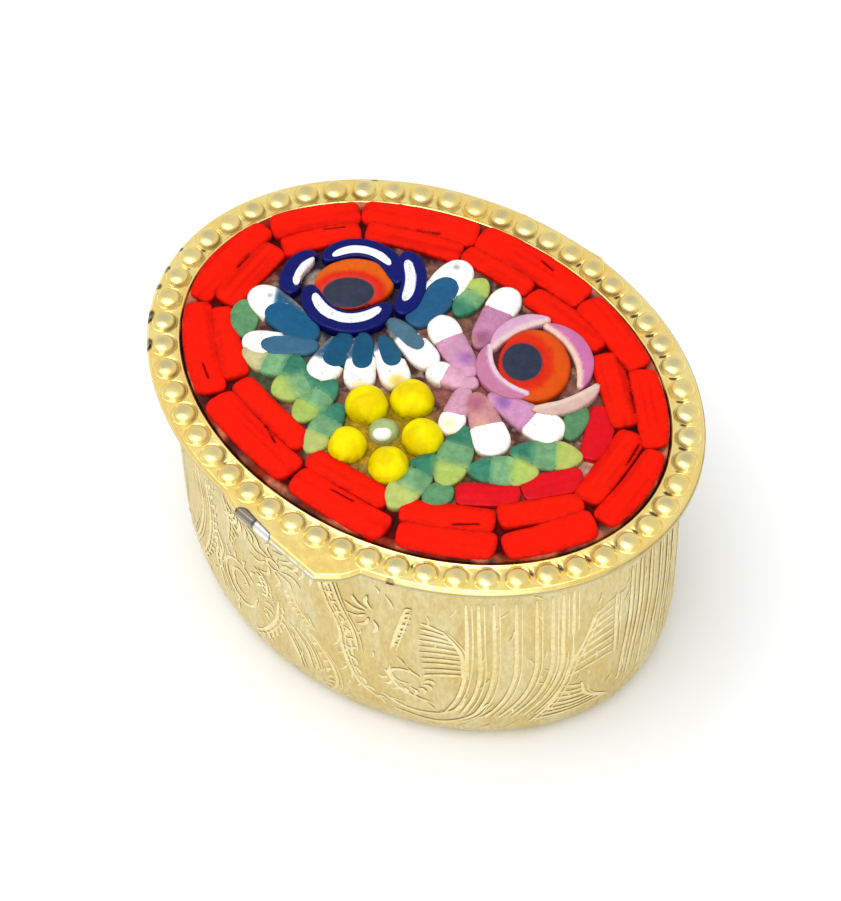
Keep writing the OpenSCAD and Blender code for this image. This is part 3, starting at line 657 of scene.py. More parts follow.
def lid_frame():
    bead_a, bead_b = FLANGE_A - BEAD_INSET, FLANGE_B - BEAD_INSET
    columns, rows = BEAD_COUNT * 34, 46
    w = even_angle(np.arange(columns) / columns - 0.25, bead_a, bead_b)
    bead_w = even_angle(np.arange(BEAD_COUNT) / BEAD_COUNT - 0.25, bead_a, bead_b)
    bead_xy = list(zip(bead_a * np.cos(bead_w), bead_b * np.sin(bead_w)))
    gap_w = even_angle((np.arange(BEAD_COUNT) + 0.5) / BEAD_COUNT - 0.25, bead_a, bead_b)
    right_side = ramp(np.cos(gap_w) + 0.35 * np.sin(gap_w), 0.35, 0.8)
    size = np.clip(np.random.default_rng(5).normal(0.2, 0.3, BEAD_COUNT) + 0.75 * right_side, 0, 1)
    dent_xy = list(zip((bead_a - 0.4) * np.cos(gap_w), (bead_b - 0.4) * np.sin(gap_w), size))
    # how far out each column runs: the flange's edge, or the tab's outline beyond it
    reach, high = np.full(columns, BEAD_INSET), np.full(columns, BEAD_INSET + 2.2)
    for _ in range(30):
        mid = (reach + high) / 2
        inside = (bead_b + mid) * np.sin(w) > tab_depth((bead_a + mid) * np.cos(w))
        inside &= np.sin(w) < 0
        reach, high = np.where(inside, mid, reach), np.where(inside, high, mid)
    inner = BEAD_INSET - RIM_W
    r = inner + (reach - inner) * np.linspace(0, 1, rows)[:, None]
    x, y = (bead_a + r) * np.cos(w), (bead_b + r) * np.sin(w)
    z, *marks = rim_surface(x, y, r, reach, bead_xy, dent_xy)
    z = z + noise(np.stack([x.ravel(), y.ravel(), 0 * x.ravel()], 1), 3.0, 21).reshape(x.shape) * 0.02
    top = np.stack([x, y, z], -1)
    # the edge, down to the underside and back up inside
    outline, hole = top[-1] * [1, 1, 0], top[0] * [1, 1, 0]
    drop = [outline + [0, 0, FLANGE_Z - k] for k in np.linspace(0.3, 0.62, 5)]
    under = outline * ((bead_a + reach - 0.08) / (bead_a + reach))[:, None] + [0, 0, FLANGE_LOW]
    loops = [*top, *drop, under, hole + [0, 0, FLANGE_LOW], hole + [0, 0, FLANGE_LOW + 0.1]]
    points = np.vstack(loops)
    faces = grid_faces(len(loops), columns)
    last = (len(loops) - 1) * columns
    faces += [[last + c, last + (c + 1) % columns, (c + 1) % columns, c] for c in range(columns)]
    extra = np.zeros(len(points) - x.size)
    # the grime carries painted shade, and the worn crowns a painted grey reflection
    grime_and_shade, worn, dents = (np.concatenate([mark.ravel(), extra]) for mark in marks)
    from_edge = np.concatenate([(reach - r).ravel(), extra - 1])
    mesh_object("lid_rim", points, faces, polished_gilt, "lid", ["lid_frame"],
                rim_marks(points, from_edge, grime_and_shade, worn, dents))


# ---- mosaic glass


def connected(items, neighbours):
    """Items gathered into sets that touch each other."""
    left, groups = set(items), []
    while left:
        queue, group = [left.pop()], set()
        while queue:
            item = queue.pop()
            group.add(item)
            touching = left.intersection(neighbours(item))
            left -= touching
            queue += touching
        groups.append(group)
    return groups


def welded(node):
    """A CAD node's mesh with its doubled points joined."""
    bm = bmesh.new()
    bm.from_mesh(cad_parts[node].data)
    bmesh.ops.remove_doubles(bm, verts=bm.verts, dist=WELD)
    return bm


def area(p):
    q = onward(p)
    return float(np.sum(p[:, 0] * q[:, 1] - q[:, 0] * p[:, 1]) / 2)


def top_outlines(node):
    """Outlines of the flat tops of a node's solids: for each, loops of (x, y), the outer one first."""
    bm = welded(node)
    top = [f for f in bm.faces if f.normal.z > 0.9]
    solids = []
    for group in connected(top, lambda f: [g for e in f.edges for g in e.link_faces]):
        after = {}
        for f in group:
            for corner in f.loops:
                if sum(g in group for g in corner.edge.link_faces) == 1:
                    after[corner.vert] = corner.link_loop_next.vert
        loops = []
        while after:
            chain, v = [], min(after, key=lambda v: v.index)
            while v in after:
                chain.append((v.co.x / MM, v.co.y / MM))
                v = after.pop(v)
            loops.append(np.array(chain))
        solids.append(sorted(loops, key=lambda p: -abs(area(p))))
    bm.free()
    return sorted(solids, key=lambda s: tuple(np.round(s[0].mean(0), 2)))


def solid_boxes(node):
    """Lowest and highest corner of each separate solid of a node, in mm."""
    bm = welded(node)
    groups = connected(bm.verts, lambda v: [e.other_vert(v) for e in v.link_edges])
    corners = [np.array([v.co for v in group]) / MM for group in groups]
    bm.free()
    return sorted(((c.min(0), c.max(0)) for c in corners), key=lambda box: tuple(np.round(box[0], 2)))


def resample(p, step=OUTLINE_STEP):
    """Even points along a closed loop, its corners slightly rounded."""
    q = np.vstack([p, p[:1]])
    run = running_length(q)
    count = max(int(run[-1] / step), 8)
    out = at_lengths(q, run, np.arange(count) / count * run[-1])
    for _ in range(3):
        out = (np.roll(out, 1, 0) + 2 * out + onward(out)) / 4
    return out


def to_segments(points, a, b):
    """Distance from each point to the nearest of the segments a-b."""
    if len(a) == 0:
        return np.full(len(points), 99.0)
    d = b - a
    t = np.einsum("pij,ij->pi", points[:, None] - a[None], d) / np.maximum(np.sum(d * d, 1), 1e-12)
    near = a[None] + np.clip(t, 0, 1)[..., None] * d[None]
    return np.min(np.linalg.norm(points[:, None] - near, axis=2), axis=1)


def inside_loops(points, a, b):
    """Even-odd test against the segments a-b."""
    x, y = points[:, 0][:, None], points[:, 1][:, None]
    crosses = (a[None, :, 1] > y) != (b[None, :, 1] > y)
    at = a[None, :, 0] + (y - a[None, :, 1]) * (b - a)[None, :, 0] / np.where(crosses, (b - a)[None, :, 1], 1)
    return (np.sum(crosses & (x < at), axis=1) % 2) == 1


def triangles_in(points, rings, a, b):
    """Triangles of points inside closed rings of their indices, whose sides are also the segments a-b."""
    edges = [pair for ring in rings for pair in zip(ring, ring[1:] + ring[:1])]
    made, _, faces, source = delaunay_2d_cdt([Vector(p) for p in points], edges, [], 0, 1e-6, True)[:4]
    back = np.array([s[0] if s else -1 for s in source])
    tri = np.array([f for f in faces if len(f) == 3])
    tri = back[tri[inside_loops(np.array([tuple(v) for v in made])[tri].mean(1), a, b)]]
    return tri[(tri >= 0).all(1)]


def outward(p):
    """Unit vectors pointing out of a closed loop at each of its points (into a hole)."""
    along = onward(p) - np.roll(p, 1, axis=0)
    return np.stack([along[:, 1], -along[:, 0]], 1) / np.linalg.norm(along, axis=1, keepdims=True)


# Cracks along some bars: (x, y) of both ends
CRACKS = [((-17.1, 1.3), (-17.1, 0.0)), ((-8.3, 10.4), (-6.9, 11.1)), ((1.0, 13.4), (2.0, 13.2)),
          ((10.5, 9.4), (11.8, 8.9)), ((11.8, 8.9), (14.4, 6.2)), ((16.3, 4.0), (16.6, 2.0)),
          ((-6.5, -10.3), (-5.2, -11.0)), ((0.9, -12.0), (2.6, -11.9)), ((-13.6, -8.6), (-12.6, -9.3)),
          ((9.6, -9.3), (11.0, -8.3)), ((-13.9, 6.6), (-12.9, 7.5))]
CRACK_A, CRACK_B = np.array(CRACKS).swapaxes(0, 1)


def crack_points():
    """Extra points on and beside each crack."""
    points = []
    for p, q in zip(CRACK_A, CRACK_B):
        d = (q - p) / np.linalg.norm(q - p)
        n = np.array([-d[1], d[0]])
        for t in np.linspace(0, 1, int(np.linalg.norm(q - p) / 0.09)):
            points += [p + (q - p) * t + n * k for k in (-0.12, -0.05, 0.0, 0.05, 0.12)]
    return np.array(points)


def plan_points(loops, a, b, edge, grain):
    """Points inside a piece's outline: rows along its edge, an even grid in the middle, and any cracks."""
    depths = (0.1, 0.34, 0.66, 1.05) if edge > 0.1 else (0.3, 1.1, 2.4, 3.4, 4.6)
    inner = []
    for p in loops:
        for k, depth in enumerate(depths):
            q = (p - outward(p) * edge * depth)[::1 if k < 2 else 2]
            inner.append(q[(to_segments(q, a, b) > edge * depth * 0.9) & inside_loops(q, a, b)])
    (x0, y0), (x1, y1) = a.min(0), a.max(0)
    gx, gy = np.meshgrid(np.arange(x0, x1, GRID_STEP), np.arange(y0, y1, GRID_STEP * 0.87))
    gx = gx + (np.arange(len(gx)) % 2)[:, None] * GRID_STEP / 2
    grid = np.stack([gx.ravel(), gy.ravel()], 1)
    if grain:
        grid = np.vstack([grid[to_segments(grid, CRACK_A, CRACK_B) > 0.2], crack_points()])
    grid = grid[inside_loops(grid, a, b)]
    grid = grid[to_segments(grid, a, b) > edge * depths[-1] + 0.08]
    return np.vstack([a] + inner + [grid])


def cushion(loops, seams, height, edge, crown, grain, seed, swell):
    """One piece of glass: upright sides, rounded top edges where it stands free, none along its seams.
    Returns points, faces, each point's closeness to its free rim, and its nearness to a crack."""
    rng = np.random.default_rng(seed)
    loops = [resample(p) for p in loops]
    for k, p in enumerate(loops):
        by = np.where(to_segments(p, *seams) < SEAM, SEAM / 2, swell + layer_noise(p, seed, 0.9, 30) * 0.035)
        loops[k] = p + outward(p) * by[:, None]
    a = np.vstack(loops)
    b = np.vstack([onward(p) for p in loops])
    free = to_segments((a + b) / 2, *seams) > SEAM
    plan = plan_points(loops, a, b, edge, grain)
    starts = np.cumsum([0] + [len(p) for p in loops])
    rings = [list(range(i, j)) for i, j in zip(starts, starts[1:])]
    d = to_segments(plan, a[free], b[free])
    rounded = height - edge + np.sqrt(np.maximum(edge ** 2 - np.maximum(edge - d, 0) ** 2, 0))
    deep = max(d[d < 90].max(), 0.4) if (d < 90).any() else 1.0
    z = rounded + crown * (1 - (1 - np.clip(d / deep, 0, 1)) ** 2)
    # its own tilt and dents
    centre = a.mean(0)
    z = z + (plan - centre) @ rng.normal(0, 0.012, 2)
    z = z + layer_noise(plan, seed * 1.7, 1.1, 31) * 0.03 + layer_noise(plan, seed * 1.7, 0.45, 32) * 0.012
    # fused neighbours meet at one height
    shared = rounded + crown * 0.6 * ramp(d, 0, 0.6) + layer_noise(plan, 0, 1.1, 31) * 0.03
    z = z + (shared - z) * hump(to_segments(plan, *seams), 0.22)
    crack = np.zeros(len(plan))
    if grain:
        # a drawn rod: a ridge off its middle, fine lines along its length, and a crack in some
        axes = np.linalg.eigh(np.cov((a - centre).T))[1]
        local = (plan - centre) @ axes[:, ::-1]
        across = local[:, 1] - rng.uniform(-0.35, 0.35)
        z = z - np.where(across > 0, rng.uniform(0.02, 0.14), rng.uniform(0.02, 0.14)) * np.abs(across)
        z = z + layer_noise(local / [5, 0.35], seed * 1.3, 1.0, 33) * grain
        d_crack = to_segments(plan, CRACK_A, CRACK_B)
        crack = hump(d_crack, 0.075)
        z = z - 0.2 * hump(d_crack, 0.06)
    # upright sides: along a seam they have their own upper points, so that the top is shaded smooth across it
    n_side = len(a)
    foot, own = len(plan), len(plan) + n_side
    heights = np.concatenate([z, np.zeros(n_side), z[:n_side]])
    points = np.column_stack([np.vstack([plan, a, a]), GLASS_FOOT + heights])
    faces = triangles_in(plan, rings, a, b).tolist()
    for ring in rings:
        for p, q in zip(ring, ring[1:] + ring[:1]):
            upper = 0 if free[p] else own
            faces.append([upper + q, upper + p, foot + p, foot + q])
    faces += (triangles_in(a, rings, a, b)[:, ::-1] + foot).tolist()
    # closeness to the free rim, and full on the sides: where the glass takes its dirt and painted shade
    rim = np.concatenate([np.clip(1 - d / 0.45, 0, 1) * 0.6, np.ones(2 * n_side)])
    return points, faces, rim, np.concatenate([crack, np.zeros(2 * n_side)])


# ---- paints: functions that give the screen colours of points xy on a piece. All of them are handed the
# piece's centre, its outlines and a random generator.


def plain(colour):
    """One colour, each piece a little lighter or darker than the next."""
    return lambda xy, centre, loops, rng: np.tile(np.array(colour) * rng.uniform(0.95, 1.02), (len(xy), 1))


def drawn(colour, dark):
    """One colour with darker streaks along each piece's length, as in glass drawn out to a rod."""
    def paint(xy, centre, loops, rng):
        axes = np.linalg.eigh(np.cov((loops[0] - centre).T))[1]
        local = (xy - centre) @ axes[:, ::-1]
        streaks = layer_noise(local / [6, 0.3], rng.uniform(0, 30), 1.0, 34)
        return blend(colour, dark, ramp(streaks, 0.1, 0.9) * 0.35)
    return paint


def tipped(tip, body, flower, reach):
    """Petals whose far ends are one colour and whose near ends another."""
    def paint(xy, centre, loops, rng):
        far = distance(xy / reach, np.divide(flower, reach))
        return blend(body, tip, ramp(far, 0.9, 0.96))
    return paint


def nearest(rows, centre):
    """The row whose place, its first item, is nearest."""
    return min(rows, key=lambda row: math.dist(row[0], centre))


def by_place(rows):
    """A colour chosen by the nearest place: rows of ((x, y), colour)."""
    return lambda xy, centre, loops, rng: np.tile(np.array(nearest(rows, centre)[1], float), (len(xy), 1))


def pale_towards(eye, rows):
    """A colour chosen by place, with a pale layer along the side that faces the eye: rows of ((x, y), colour,
    pale)."""
    def paint(xy, centre, loops, rng):
        _, colour, pale = nearest(rows, centre)
        a = resample(loops[0], 0.15)
        b = onward(a)
        normal = np.stack([(b - a)[:, 1], -(b - a)[:, 0]], 1)
        faces_eye = np.einsum("ij,ij->i", normal, np.array(eye) - (a + b) / 2) > 0
        return blend(colour, pale, 1 - ramp(to_segments(xy, a[faces_eye], b[faces_eye]), 0.12, 0.312))
    return paint


def layered(eye, half, tilt, layers):
    """Oval layers that melt into each other: rows of (share of the half axes, colour)."""
    c, s = math.cos(math.radians(tilt)), math.sin(math.radians(tilt))

    def paint(xy, centre, loops, rng):
        local = (xy - eye) @ np.array([[c, -s], [s, c]])
        u = distance(local / half, (0, 0))
        at, colours = zip(*layers)
        return np.stack([np.interp(u, at, channel) for channel in zip(*colours)], 1)
    return paint


def spotted(base, spots):
    """Another paint with round spots of colour on it: rows of ((x, y), radius, colour)."""
    def paint(xy, centre, loops, rng):
        colours = base(xy, centre, loops, rng)
        for place, radius, colour in spots:
            colours = blend(colours, colour, 1 - ramp(distance(xy, place), radius * 0.15, radius * 1.1))
        return colours
    return paint


def joined(parts, slot, name, node):
    """A piece of glass made of parts: each its points, faces, share of dirt and painted shade at its rim,
    cracks and screen colours.
    """
    faces, count = [], 0
    for part in parts:
        faces += [[i + count for i in face] for face in part[1]]
        count += len(part[0])
    points, _, rim, crack, colours = zip(*parts)
    attributes = dict(rim=np.concatenate(rim), crack=np.concatenate(crack),
                      paint=rgba(np.clip(np.vstack(colours), 0, 255)))
    mesh_object(name, np.vstack(points), faces, glass_material[slot], "lid", [node], attributes)


def pushed_out(loops):
    """A border bar's outline, its outer side moved out a little within a share of the frame's inner oval."""
    share = [distance(p / [FLANGE_A - RIM_W, FLANGE_B - RIM_W], (0, 0)) for p in loops]
    limit, most = 0.99, 0.014
    move = min(limit - max(u.max() for u in share), most)
    return [p * (1 + move * ramp(u, 0.88, 0.95) / u)[:, None] for p, u in zip(loops, share)]


def glass_piece(node, family, slot, height, edge, crown, grain, swell, seed, paint, melt=0.0):
    """All solids of one CAD node as cushions; family lists the nodes fused with it, whose colours melt into
    its own across a width of melt."""
    mine = top_outlines(node)
    if node == "border_outer_bars":
        mine = [pushed_out([resample(p) for p in loops]) for loops in mine]
    others = {n: top_outlines(n) for n in family if n != node}
    parts = []
    for k, loops in enumerate(mine):
        a = b = np.zeros((0, 2))
        if family:
            rest = [p for solids in others.values() for s in solids for p in s]
            rest += [p for j, s in enumerate(mine) if j != k for p in s]
            a, b = np.vstack(rest), np.vstack([onward(p) for p in rest])
        points, *shape = cushion(loops, (a, b), height, edge, crown, grain, seed + k, swell)
        rng = np.random.default_rng(seed * 31 + k)
        xy = points[:, :2]
        colour = paint(xy, loops[0].mean(0), loops, rng)
        for other in (others if melt else ()):
            outlines = [s[0] for s in others[other]]
            d = [to_segments(xy, p, onward(p)) for p in outlines]
            near = int(np.argmin([v.min() for v in d]))
            theirs = PAINT[other](xy, outlines[near].mean(0), [outlines[near]], rng)
            colour = blend(colour, theirs, 0.5 - 0.5 * ramp(d[near], 0.0, melt))
        parts.append((points, *shape, colour))
    joined(parts, slot, node + "_glass", node)


GREY = (170, 166, 160)
PAINT = {
    "border_outer_bars": drawn((238, 22, 0), (176, 0, 0)),
    "border_inner_bars": drawn((236, 24, 0), (176, 0, 0)),
    "crimson_bars": drawn((214, 0, 18), (176, 0, 14)),
    "navy_crescents": spotted(plain((0, 10, 98)), [
        ((-11.9, 2.6), 0.55, (214, 204, 206)), ((-11.9, 3.6), 0.45, (150, 128, 110))]),
    "navy_crescent_cores": plain((236, 236, 246)),
    "blue_petal_cores": by_place([
        ((-10.5, -1.9), (14, 84, 122)), ((-9.5, -3.6), (52, 100, 128)), ((-6.4, -1.8), (10, 76, 108)),
        ((-4.8, -0.8), (10, 76, 108)), ((-3.4, 0.3), (22, 82, 112)), ((-3.2, 2.2), (72, 108, 124)),
        ((-3.4, 5.5), (26, 84, 122))]),
    "blue_petal_rims": spotted(tipped((246, 246, 242), (24, 84, 118), (-8.6, 2.4), (5.6, 6.4)), [
        ((-1.1, -1.7), 0.9, (226, 196, 90)), ((-3.1, -3.6), 0.7, (240, 226, 170)),
        ((0.4, 0.4), 0.8, (226, 208, 170)), ((-6.2, -5.2), 0.6, (236, 230, 206)),
        ((-3.8, 9.2), 0.4, GREY), ((-13.4, -0.9), 0.3, GREY)]),
    "pink_crescents": pale_towards(PINK_EYE, [
        ((4.3, 2.4), (190, 116, 150), (222, 196, 210)), ((2.9, 7.3), (207, 160, 188), (226, 192, 186)),
        ((8.1, 8.4), (194, 106, 156), (232, 198, 172)), ((10.3, 3.9), (204, 172, 158), (222, 194, 178))]),
    "lilac_petals": spotted(by_place([
        ((1.3, 6.0), (186, 124, 158)), ((1.2, 2.9), (204, 146, 176)), ((2.4, 1.2), (216, 162, 182)),
        ((3.7, -0.6), (204, 148, 168)), ((5.5, -0.6), (196, 136, 134)), ((7.6, 1.2), (200, 140, 176))]), [
            ((1.7, 2.9), 0.9, (164, 106, 164)), ((6.3, 1.2), 0.85, (154, 98, 166)),
            ((4.7, 0.1), 1.0, (170, 96, 116)), ((1.6, 5.0), 1.0, (160, 96, 126)),
            ((6.2, -1.4), 0.8, (214, 166, 140)), ((1.2, 4.4), 0.5, (190, 120, 120))]),
    "lilac_petal_tips": spotted(plain((250, 250, 246)), [
        ((4.2, -2.5), 0.8, (240, 226, 176)), ((8.8, -3.2), 0.6, (226, 214, 176)),
        ((5.2, -3.4), 0.9, (236, 214, 150))]),
    "leaf_light_bands": by_place([
        ((-11, -5.6), (196, 186, 132)), ((-7.4, -7), (166, 186, 92)), ((-5, -7.8), (160, 184, 86)),
        ((-2.8, -9.6), (176, 188, 104)), ((6.7, -6.4), (170, 191, 92)), ((5, -10), (178, 190, 104)),
        ((11, -2.7), (172, 192, 92)), ((12.9, 0.2), (176, 186, 90)), ((-1.5, 9), (170, 190, 90))]),
    "leaf_green_bands": plain((116, 164, 114)),
    "leaf_teal_bands": plain((56, 126, 98)),
    "small_leaves": plain((92, 142, 96)),
}
SLATE, RED = (42, 48, 66), (214, 30, 6)
BLUE_EYE_PAINT = layered(BLUE_EYE, (1.9, 1.4), 38, [
    (0.0, (48, 52, 68)), (0.97, SLATE), (1.02, (200, 56, 44)), (1.3, RED), (1.6, (216, 92, 4))])
PINK_EYE_PAINT = layered(PINK_EYE, (1.7, 1.45), -51, [
    (0.0, SLATE), (0.97, (38, 46, 66)), (1.02, (170, 46, 40)), (1.15, RED), (1.45, (214, 44, 0)),
    (1.75, (214, 76, 0))])

BARS = (0.16, 0.02, 0.045, 0.12)
LEAF = (0.88, 0.16, 0.05, 0, 0.2)
BLUE_PETAL, LILAC_PETAL = (0.95, 0.22, 0.08, 0, 0.2), (0.95, 0.2, 0.08, 0, 0.17)
# Groups of fused nodes: the width over which their colours melt, then each node's slot, height, edge
# rounding, crown, grain and swelling
GLASS_PIECES = [
    (0, {"border_outer_bars": ("border_red", 0.88, *BARS)}),
    (0, {"border_inner_bars": ("border_red", 0.86, *BARS)}),
    (0, {"crimson_bars": ("crimson_glass", 0.84, 0.12, 0.01, 0.02, 0.12)}),
    (0, {"navy_crescents": ("navy_glass", 1.12, 0.14, 0.02, 0, 0.2),
         "navy_crescent_cores": ("white_glass", 1.12, 0.14, 0.02, 0, 0.0)}),
    (0, {"blue_petal_cores": ("steel_blue_glass", *BLUE_PETAL),
         "blue_petal_rims": ("white_glass", *BLUE_PETAL)}),
    (0, {"pink_crescents": ("pink_glass", 1.14, 0.08, 0.01, 0, 0.17)}),
    (0, {"lilac_petals": ("lilac_glass", *LILAC_PETAL), "lilac_petal_tips": ("white_glass", *LILAC_PETAL)}),
    (0.45, {"leaf_light_bands": ("yellow_green_glass", *LEAF), "leaf_green_bands": ("green_glass", *LEAF),
            "leaf_teal_bands": ("teal_glass", *LEAF)}),
    (0, {"small_leaves": ("green_glass", 0.85, 0.16, 0.05, 0, 0.19)})]


def mosaic():
    seed = 0
    for melt, group in GLASS_PIECES:
        for node, looks in group.items():
            seed += 100
            glass_piece(node, list(group) if len(group) > 1 else [], *looks, seed, PAINT[node], melt)
    for eye, paint in (("blue_eye", BLUE_EYE_PAINT), ("pink_eye", PINK_EYE_PAINT)):
        family = {eye + "_core": "slate_glass", eye + "_red_ring": "vermilion_glass",
                  eye + "_orange_ring": "orange_glass"}
        for node, slot in family.items():
            glass_piece(node, list(family), slot, 1.05, 0.25, 0.1, 0, 0.05, 40, paint)


def ball(radius, seed):
    """A hand-rolled glass ball, slightly uneven, with soft flats: points, faces and how far towards its foot
    it is painted darker.
    """
    bm = bmesh.new()
    bmesh.ops.create_icosphere(bm, subdivisions=5, radius=1.0)
    p = np.array([v.co for v in bm.verts])
    faces = [[v.index for v in f.verts] for f in bm.faces]
    bm.free()
    r = 0.985 + noise(p + seed, 0.9, 41) * 0.04 + noise(p + seed, 0.35, 42) * 0.012
    rng = np.random.default_rng(seed)
    flats, cut, soft = 5, 0.92, 0.02
    for _ in range(flats):
        n = rng.normal(0, 1, 3)
        n[2] = abs(n[2]) + 0.3
        n /= np.linalg.norm(n)
        flat = np.minimum(cut / np.maximum(p @ n, 0.2), 1.5)
        r = -soft * np.log(np.exp(-r / soft) + np.exp(-flat / soft))
    # painted darker towards the foot, over the lower part of the ball
    foot = np.clip(0.95 - (p[:, 2] + 0.1) / 0.6, 0, 1)
    return p * r[:, None] * radius, faces, foot


def seated_ball(box, lift, seed):
    """A ball as high as its CAD box and centred in it, its middle off the bed and its foot cut flat."""
    (x0, y0, _), (x1, y1, top) = box
    middle = BED_TOP + lift
    p, faces, foot = ball(top - middle, seed)
    p = p + [(x0 + x1) / 2, (y0 + y1) / 2, middle]
    p[:, 2] = np.maximum(p[:, 2], LOWEST)
    return p, faces, foot, 0 * foot


def ball_flower():
    balls = []
    for k, box in enumerate(solid_boxes("yellow_beads")):
        part = seated_ball(box, BALL_LIFT, 50 + k)
        # deeper yellow in soft patches, as where the glass was pinched
        deep = ramp(noise(part[0], 1.4, 60 + k), -0.05, 0.25)
        balls.append((*part, blend((238, 220, 0), (226, 200, 0), deep)))
    joined(balls, "yellow_glass", "yellow_balls", "yellow_beads")
    part = seated_ball(box_mm("centre_bead"), MIDDLE_LIFT, 70)
    part = (*part, np.tile([166, 182, 124], (len(part[0]), 1)))
    joined([part], "pale_green_glass", "centre_ball", "centre_bead")
    (x0, y0, _), (x1, y1, top) = box_mm("centre_dot")
    p, faces, foot = ball(0.6, 71)
    p = p * [1.15, 0.95, 0.8] @ np.array([[0.8, 0.6, 0], [-0.6, 0.8, 0], [0, 0, 1]])
    p = p + [(x0 + x1) / 2 - 0.05, (y0 + y1) / 2 + 0.3, top - 0.3]
    spot = (p, faces, 0 * foot, 0 * foot, np.tile([250, 250, 242], (len(p), 1)))
    joined([spot], "white_glass", "centre_spot", "centre_dot")


# ---- cement

# Stains in the cement: (x, y), radius, colour
STAINS = [
    ((0.9, -5.6), 4.4, (206, 170, 16)), ((-10.0, -5.6), 3.6, (62, 84, 56)), ((8.4, -5.2), 3.8, (96, 84, 44)),
    ((-7.6, -2.6), 3.6, (104, 100, 90)), ((3.2, 1.6), 3.4, (170, 100, 92)), ((-9.0, 2.6), 5.6, (26, 24, 48)),
    ((5.4, 4.9), 3.2, (112, 56, 58)), ((-11.5, 2.6), 1.3, (206, 184, 160)),
    ((-11.2, 3.6), 0.6, (150, 104, 50)), ((-8.6, -2.2), 1.3, (150, 142, 124)),
    ((14.4, 0.4), 1.3, (224, 176, 150)), ((8.6, -3.4), 1.6, (176, 104, 66)),
    ((9.4, 2.2), 1.6, (200, 140, 108)), ((-9.1, -0.9), 0.3, (250, 250, 250)),
    ((-7.2, -0.8), 0.25, (240, 240, 246)), ((-6.4, 10.0), 1.5, (52, 14, 30)),
    ((11.6, 8.0), 1.2, (62, 8, 18)), ((14.2, 9.4), 0.7, (226, 190, 140)), ((-2.2, -4.8), 0.5, (170, 150, 90))]


def cement():
    columns, rows = 420, 110
    w = np.arange(columns) / columns * 2 * np.pi
    t = np.linspace(0.004, 1, rows)[:, None]
    flat = np.stack([(BED_A * t * np.cos(w)).ravel(), (BED_B * t * np.sin(w)).ravel()], 1)
    far = np.repeat(t, columns)
    margin, outer = ramp(far, 0.7, 0.82), ramp(far, 0.93, 0.98)
    lumps = layer_noise(flat, 0, 1.2, 51) * 0.07 + layer_noise(flat, 0, 0.5, 52) * 0.06
    lumps += layer_noise(flat, 0, 0.25, 53) * 0.03
    z = np.clip(BED_TOP + 0.2 - 0.12 * margin + 0.3 * outer + lumps, LOWEST, BED_TOP + 0.5)
    under = np.column_stack([BED_A * np.cos(w), BED_B * np.sin(w), np.full(columns, TRAY_TOP)])
    points = np.vstack([np.column_stack([flat, z]), under])
    faces = grid_faces(rows + 1, columns) + caps(rows + 1, columns)
    # pink-brown in the middle, red under the border, paler crumbs at the frame
    colours = blend((136, 90, 74), (96, 6, 4), margin)
    colours = blend(colours, (138, 40, 22), outer)
    colours = blend(colours, (196, 112, 80), ramp(layer_noise(flat, 0, 1.5, 54), -0.3, 0.3) * outer)
    crumbs = ramp(layer_noise(flat, 0, 0.45, 55), 0.35, 0.7) * (1 - margin) * 0.55
    dark = ramp(layer_noise(flat, 0, 0.8, 56), -0.1, 0.5) * (1 - crumbs) * 0.5
    colours = blend(blend(colours, (34, 20, 26), dark), (196, 176, 150), crumbs)
    for place, radius, colour in STAINS:
        colours = blend(colours, colour, 0.75 * (1 - ramp(distance(flat, place), radius * 0.6, radius)))
    paint = rgba(np.vstack([colours, colours[-columns:]]))
    mesh_object("cement_surface", points, faces, cement_material(), "lid", ["cement_bed"],
                dict(paint=paint))


# ---- CAD nodes that stay, with eased edges and their finish


def finish_node(node, material, bevel):
    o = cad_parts[node]
    o.data.materials.clear()
    o.data.materials.append(material)
    o.modifiers.new("weld", "WELD").merge_threshold = WELD
    ease = o.modifiers.new("ease", "BEVEL")
    ease.width = bevel * MM
    ease.segments = 2
    ease.limit_method = "ANGLE"
    ease.angle_limit = math.radians(40)
    ease.harden_normals = True


# ---- camera, floor and light


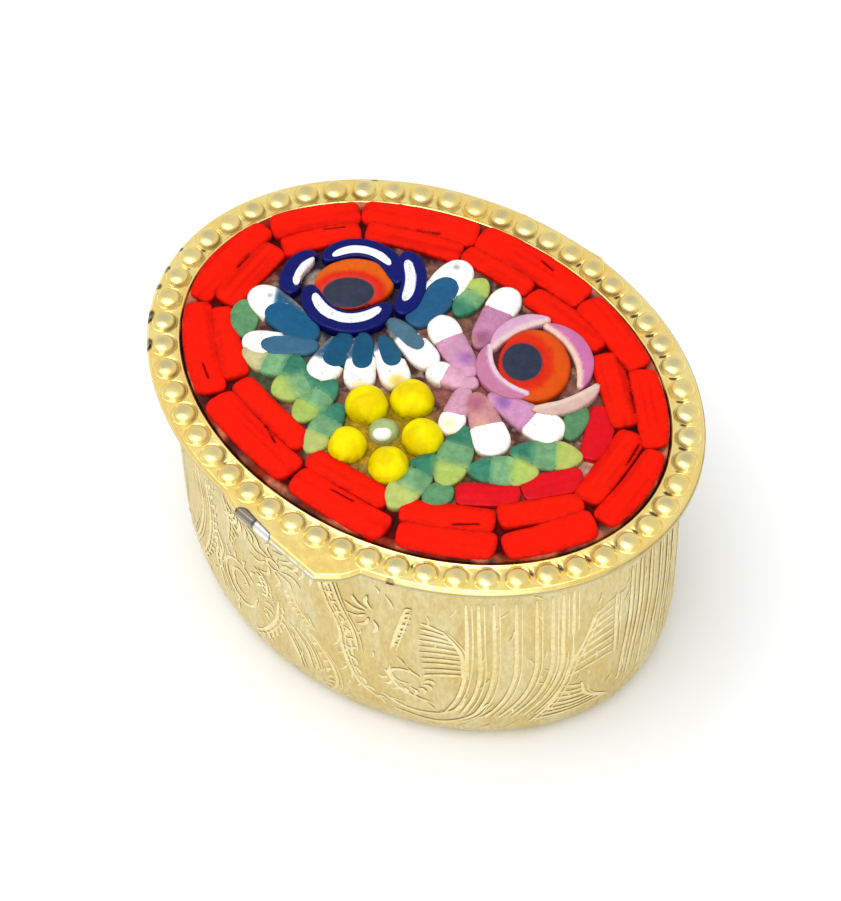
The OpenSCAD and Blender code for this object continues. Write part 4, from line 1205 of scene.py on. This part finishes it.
def camera():
    """The view from above the front right, long lens, close in. Angles in radians, lengths in millimetres."""
    azimuth, elevation, roll = 0.6755, 0.951, -0.0434
    distance_mm, shift_right, shift_up = 339.69, 0.2266, 5.2056
    back = Vector((math.sin(azimuth) * math.cos(elevation), -math.cos(azimuth) * math.cos(elevation),
                   math.sin(elevation)))
    right = Vector((math.cos(azimuth), math.sin(azimuth), 0))
    up = back.cross(right)
    side = math.cos(roll) * right + math.sin(roll) * up
    top = -math.sin(roll) * right + math.cos(roll) * up
    data = bpy.data.cameras.new("camera")
    data.sensor_width = 36
    data.lens = 186.73252
    data.clip_start, data.clip_end = 0.01, 10
    cam = add_object("camera", data)
    cam.matrix_world = Matrix((side, top, back)).transposed().to_4x4()
    cam.location = (Vector((0, 0, FLANGE_Z)) + back * distance_mm - side * shift_right - top * shift_up) * MM
    bpy.context.scene.camera = cam


def softbox(name, place, size, power):
    """A rectangular light that faces the middle of the box."""
    data = bpy.data.lights.new(name, "AREA")
    data.shape = "RECTANGLE"
    data.size, data.size_y = size
    data.energy = power
    lamp = add_object(name, data)
    lamp.location = place
    lamp.rotation_euler = (Vector((0, 0, 0.02)) - Vector(place)).to_track_quat("-Z", "Y").to_euler()


def studio():
    """White paper under the box, a pale world, and two soft lights. Lengths in metres."""
    reach = 3.0
    mesh = bpy.data.meshes.new("floor")
    mesh.from_pydata([(-reach, -reach, 0), (reach, -reach, 0), (reach, reach, 0), (-reach, reach, 0)], [],
                     [(0, 1, 2, 3)])
    paper = Shader("floor_paper")
    paper.set(Base_Color=paper.mix(paper.noise(0.02, 2), (0.93, 0.93, 0.93, 1), (0.95, 0.95, 0.945, 1)),
              Roughness=0.9)
    mesh.materials.append(paper.material)
    add_object("floor", mesh)
    world = bpy.data.worlds.new("studio")
    world.use_nodes = True
    background = world.node_tree.nodes["Background"]
    background.inputs["Color"].default_value = (0.93, 0.96, 1.0, 1)
    background.inputs["Strength"].default_value = 0.85
    bpy.context.scene.world = world
    bpy.context.scene.view_settings.view_transform = "Standard"
    softbox("overhead", (-0.05, -0.12, 0.6), (0.5, 0.4), 1.8)
    softbox("front", (0.30, -0.55, 0.28), (0.4, 0.3), 0.8)


camera()
studio()
cup()
engraving()
lid_frame()
cement()
mosaic()
ball_flower()
for material, bevel, nodes in ((bright_gilt, 0.06, ("mouth_ring", "cup_hinge_leaf", "lid_hinge_leaf")),
                               (inner_gilt, 0.05, ("lid_inner_plate", "lid_skirt", "catch_rib")),
                               (pin_gilt, 0.05, ("hinge_pin",)), (tray_brass, 0.02, ("mosaic_tray",))):
    for node_name in nodes:
        finish_node(node_name, material, bevel)

bpy.context.view_layer.update()
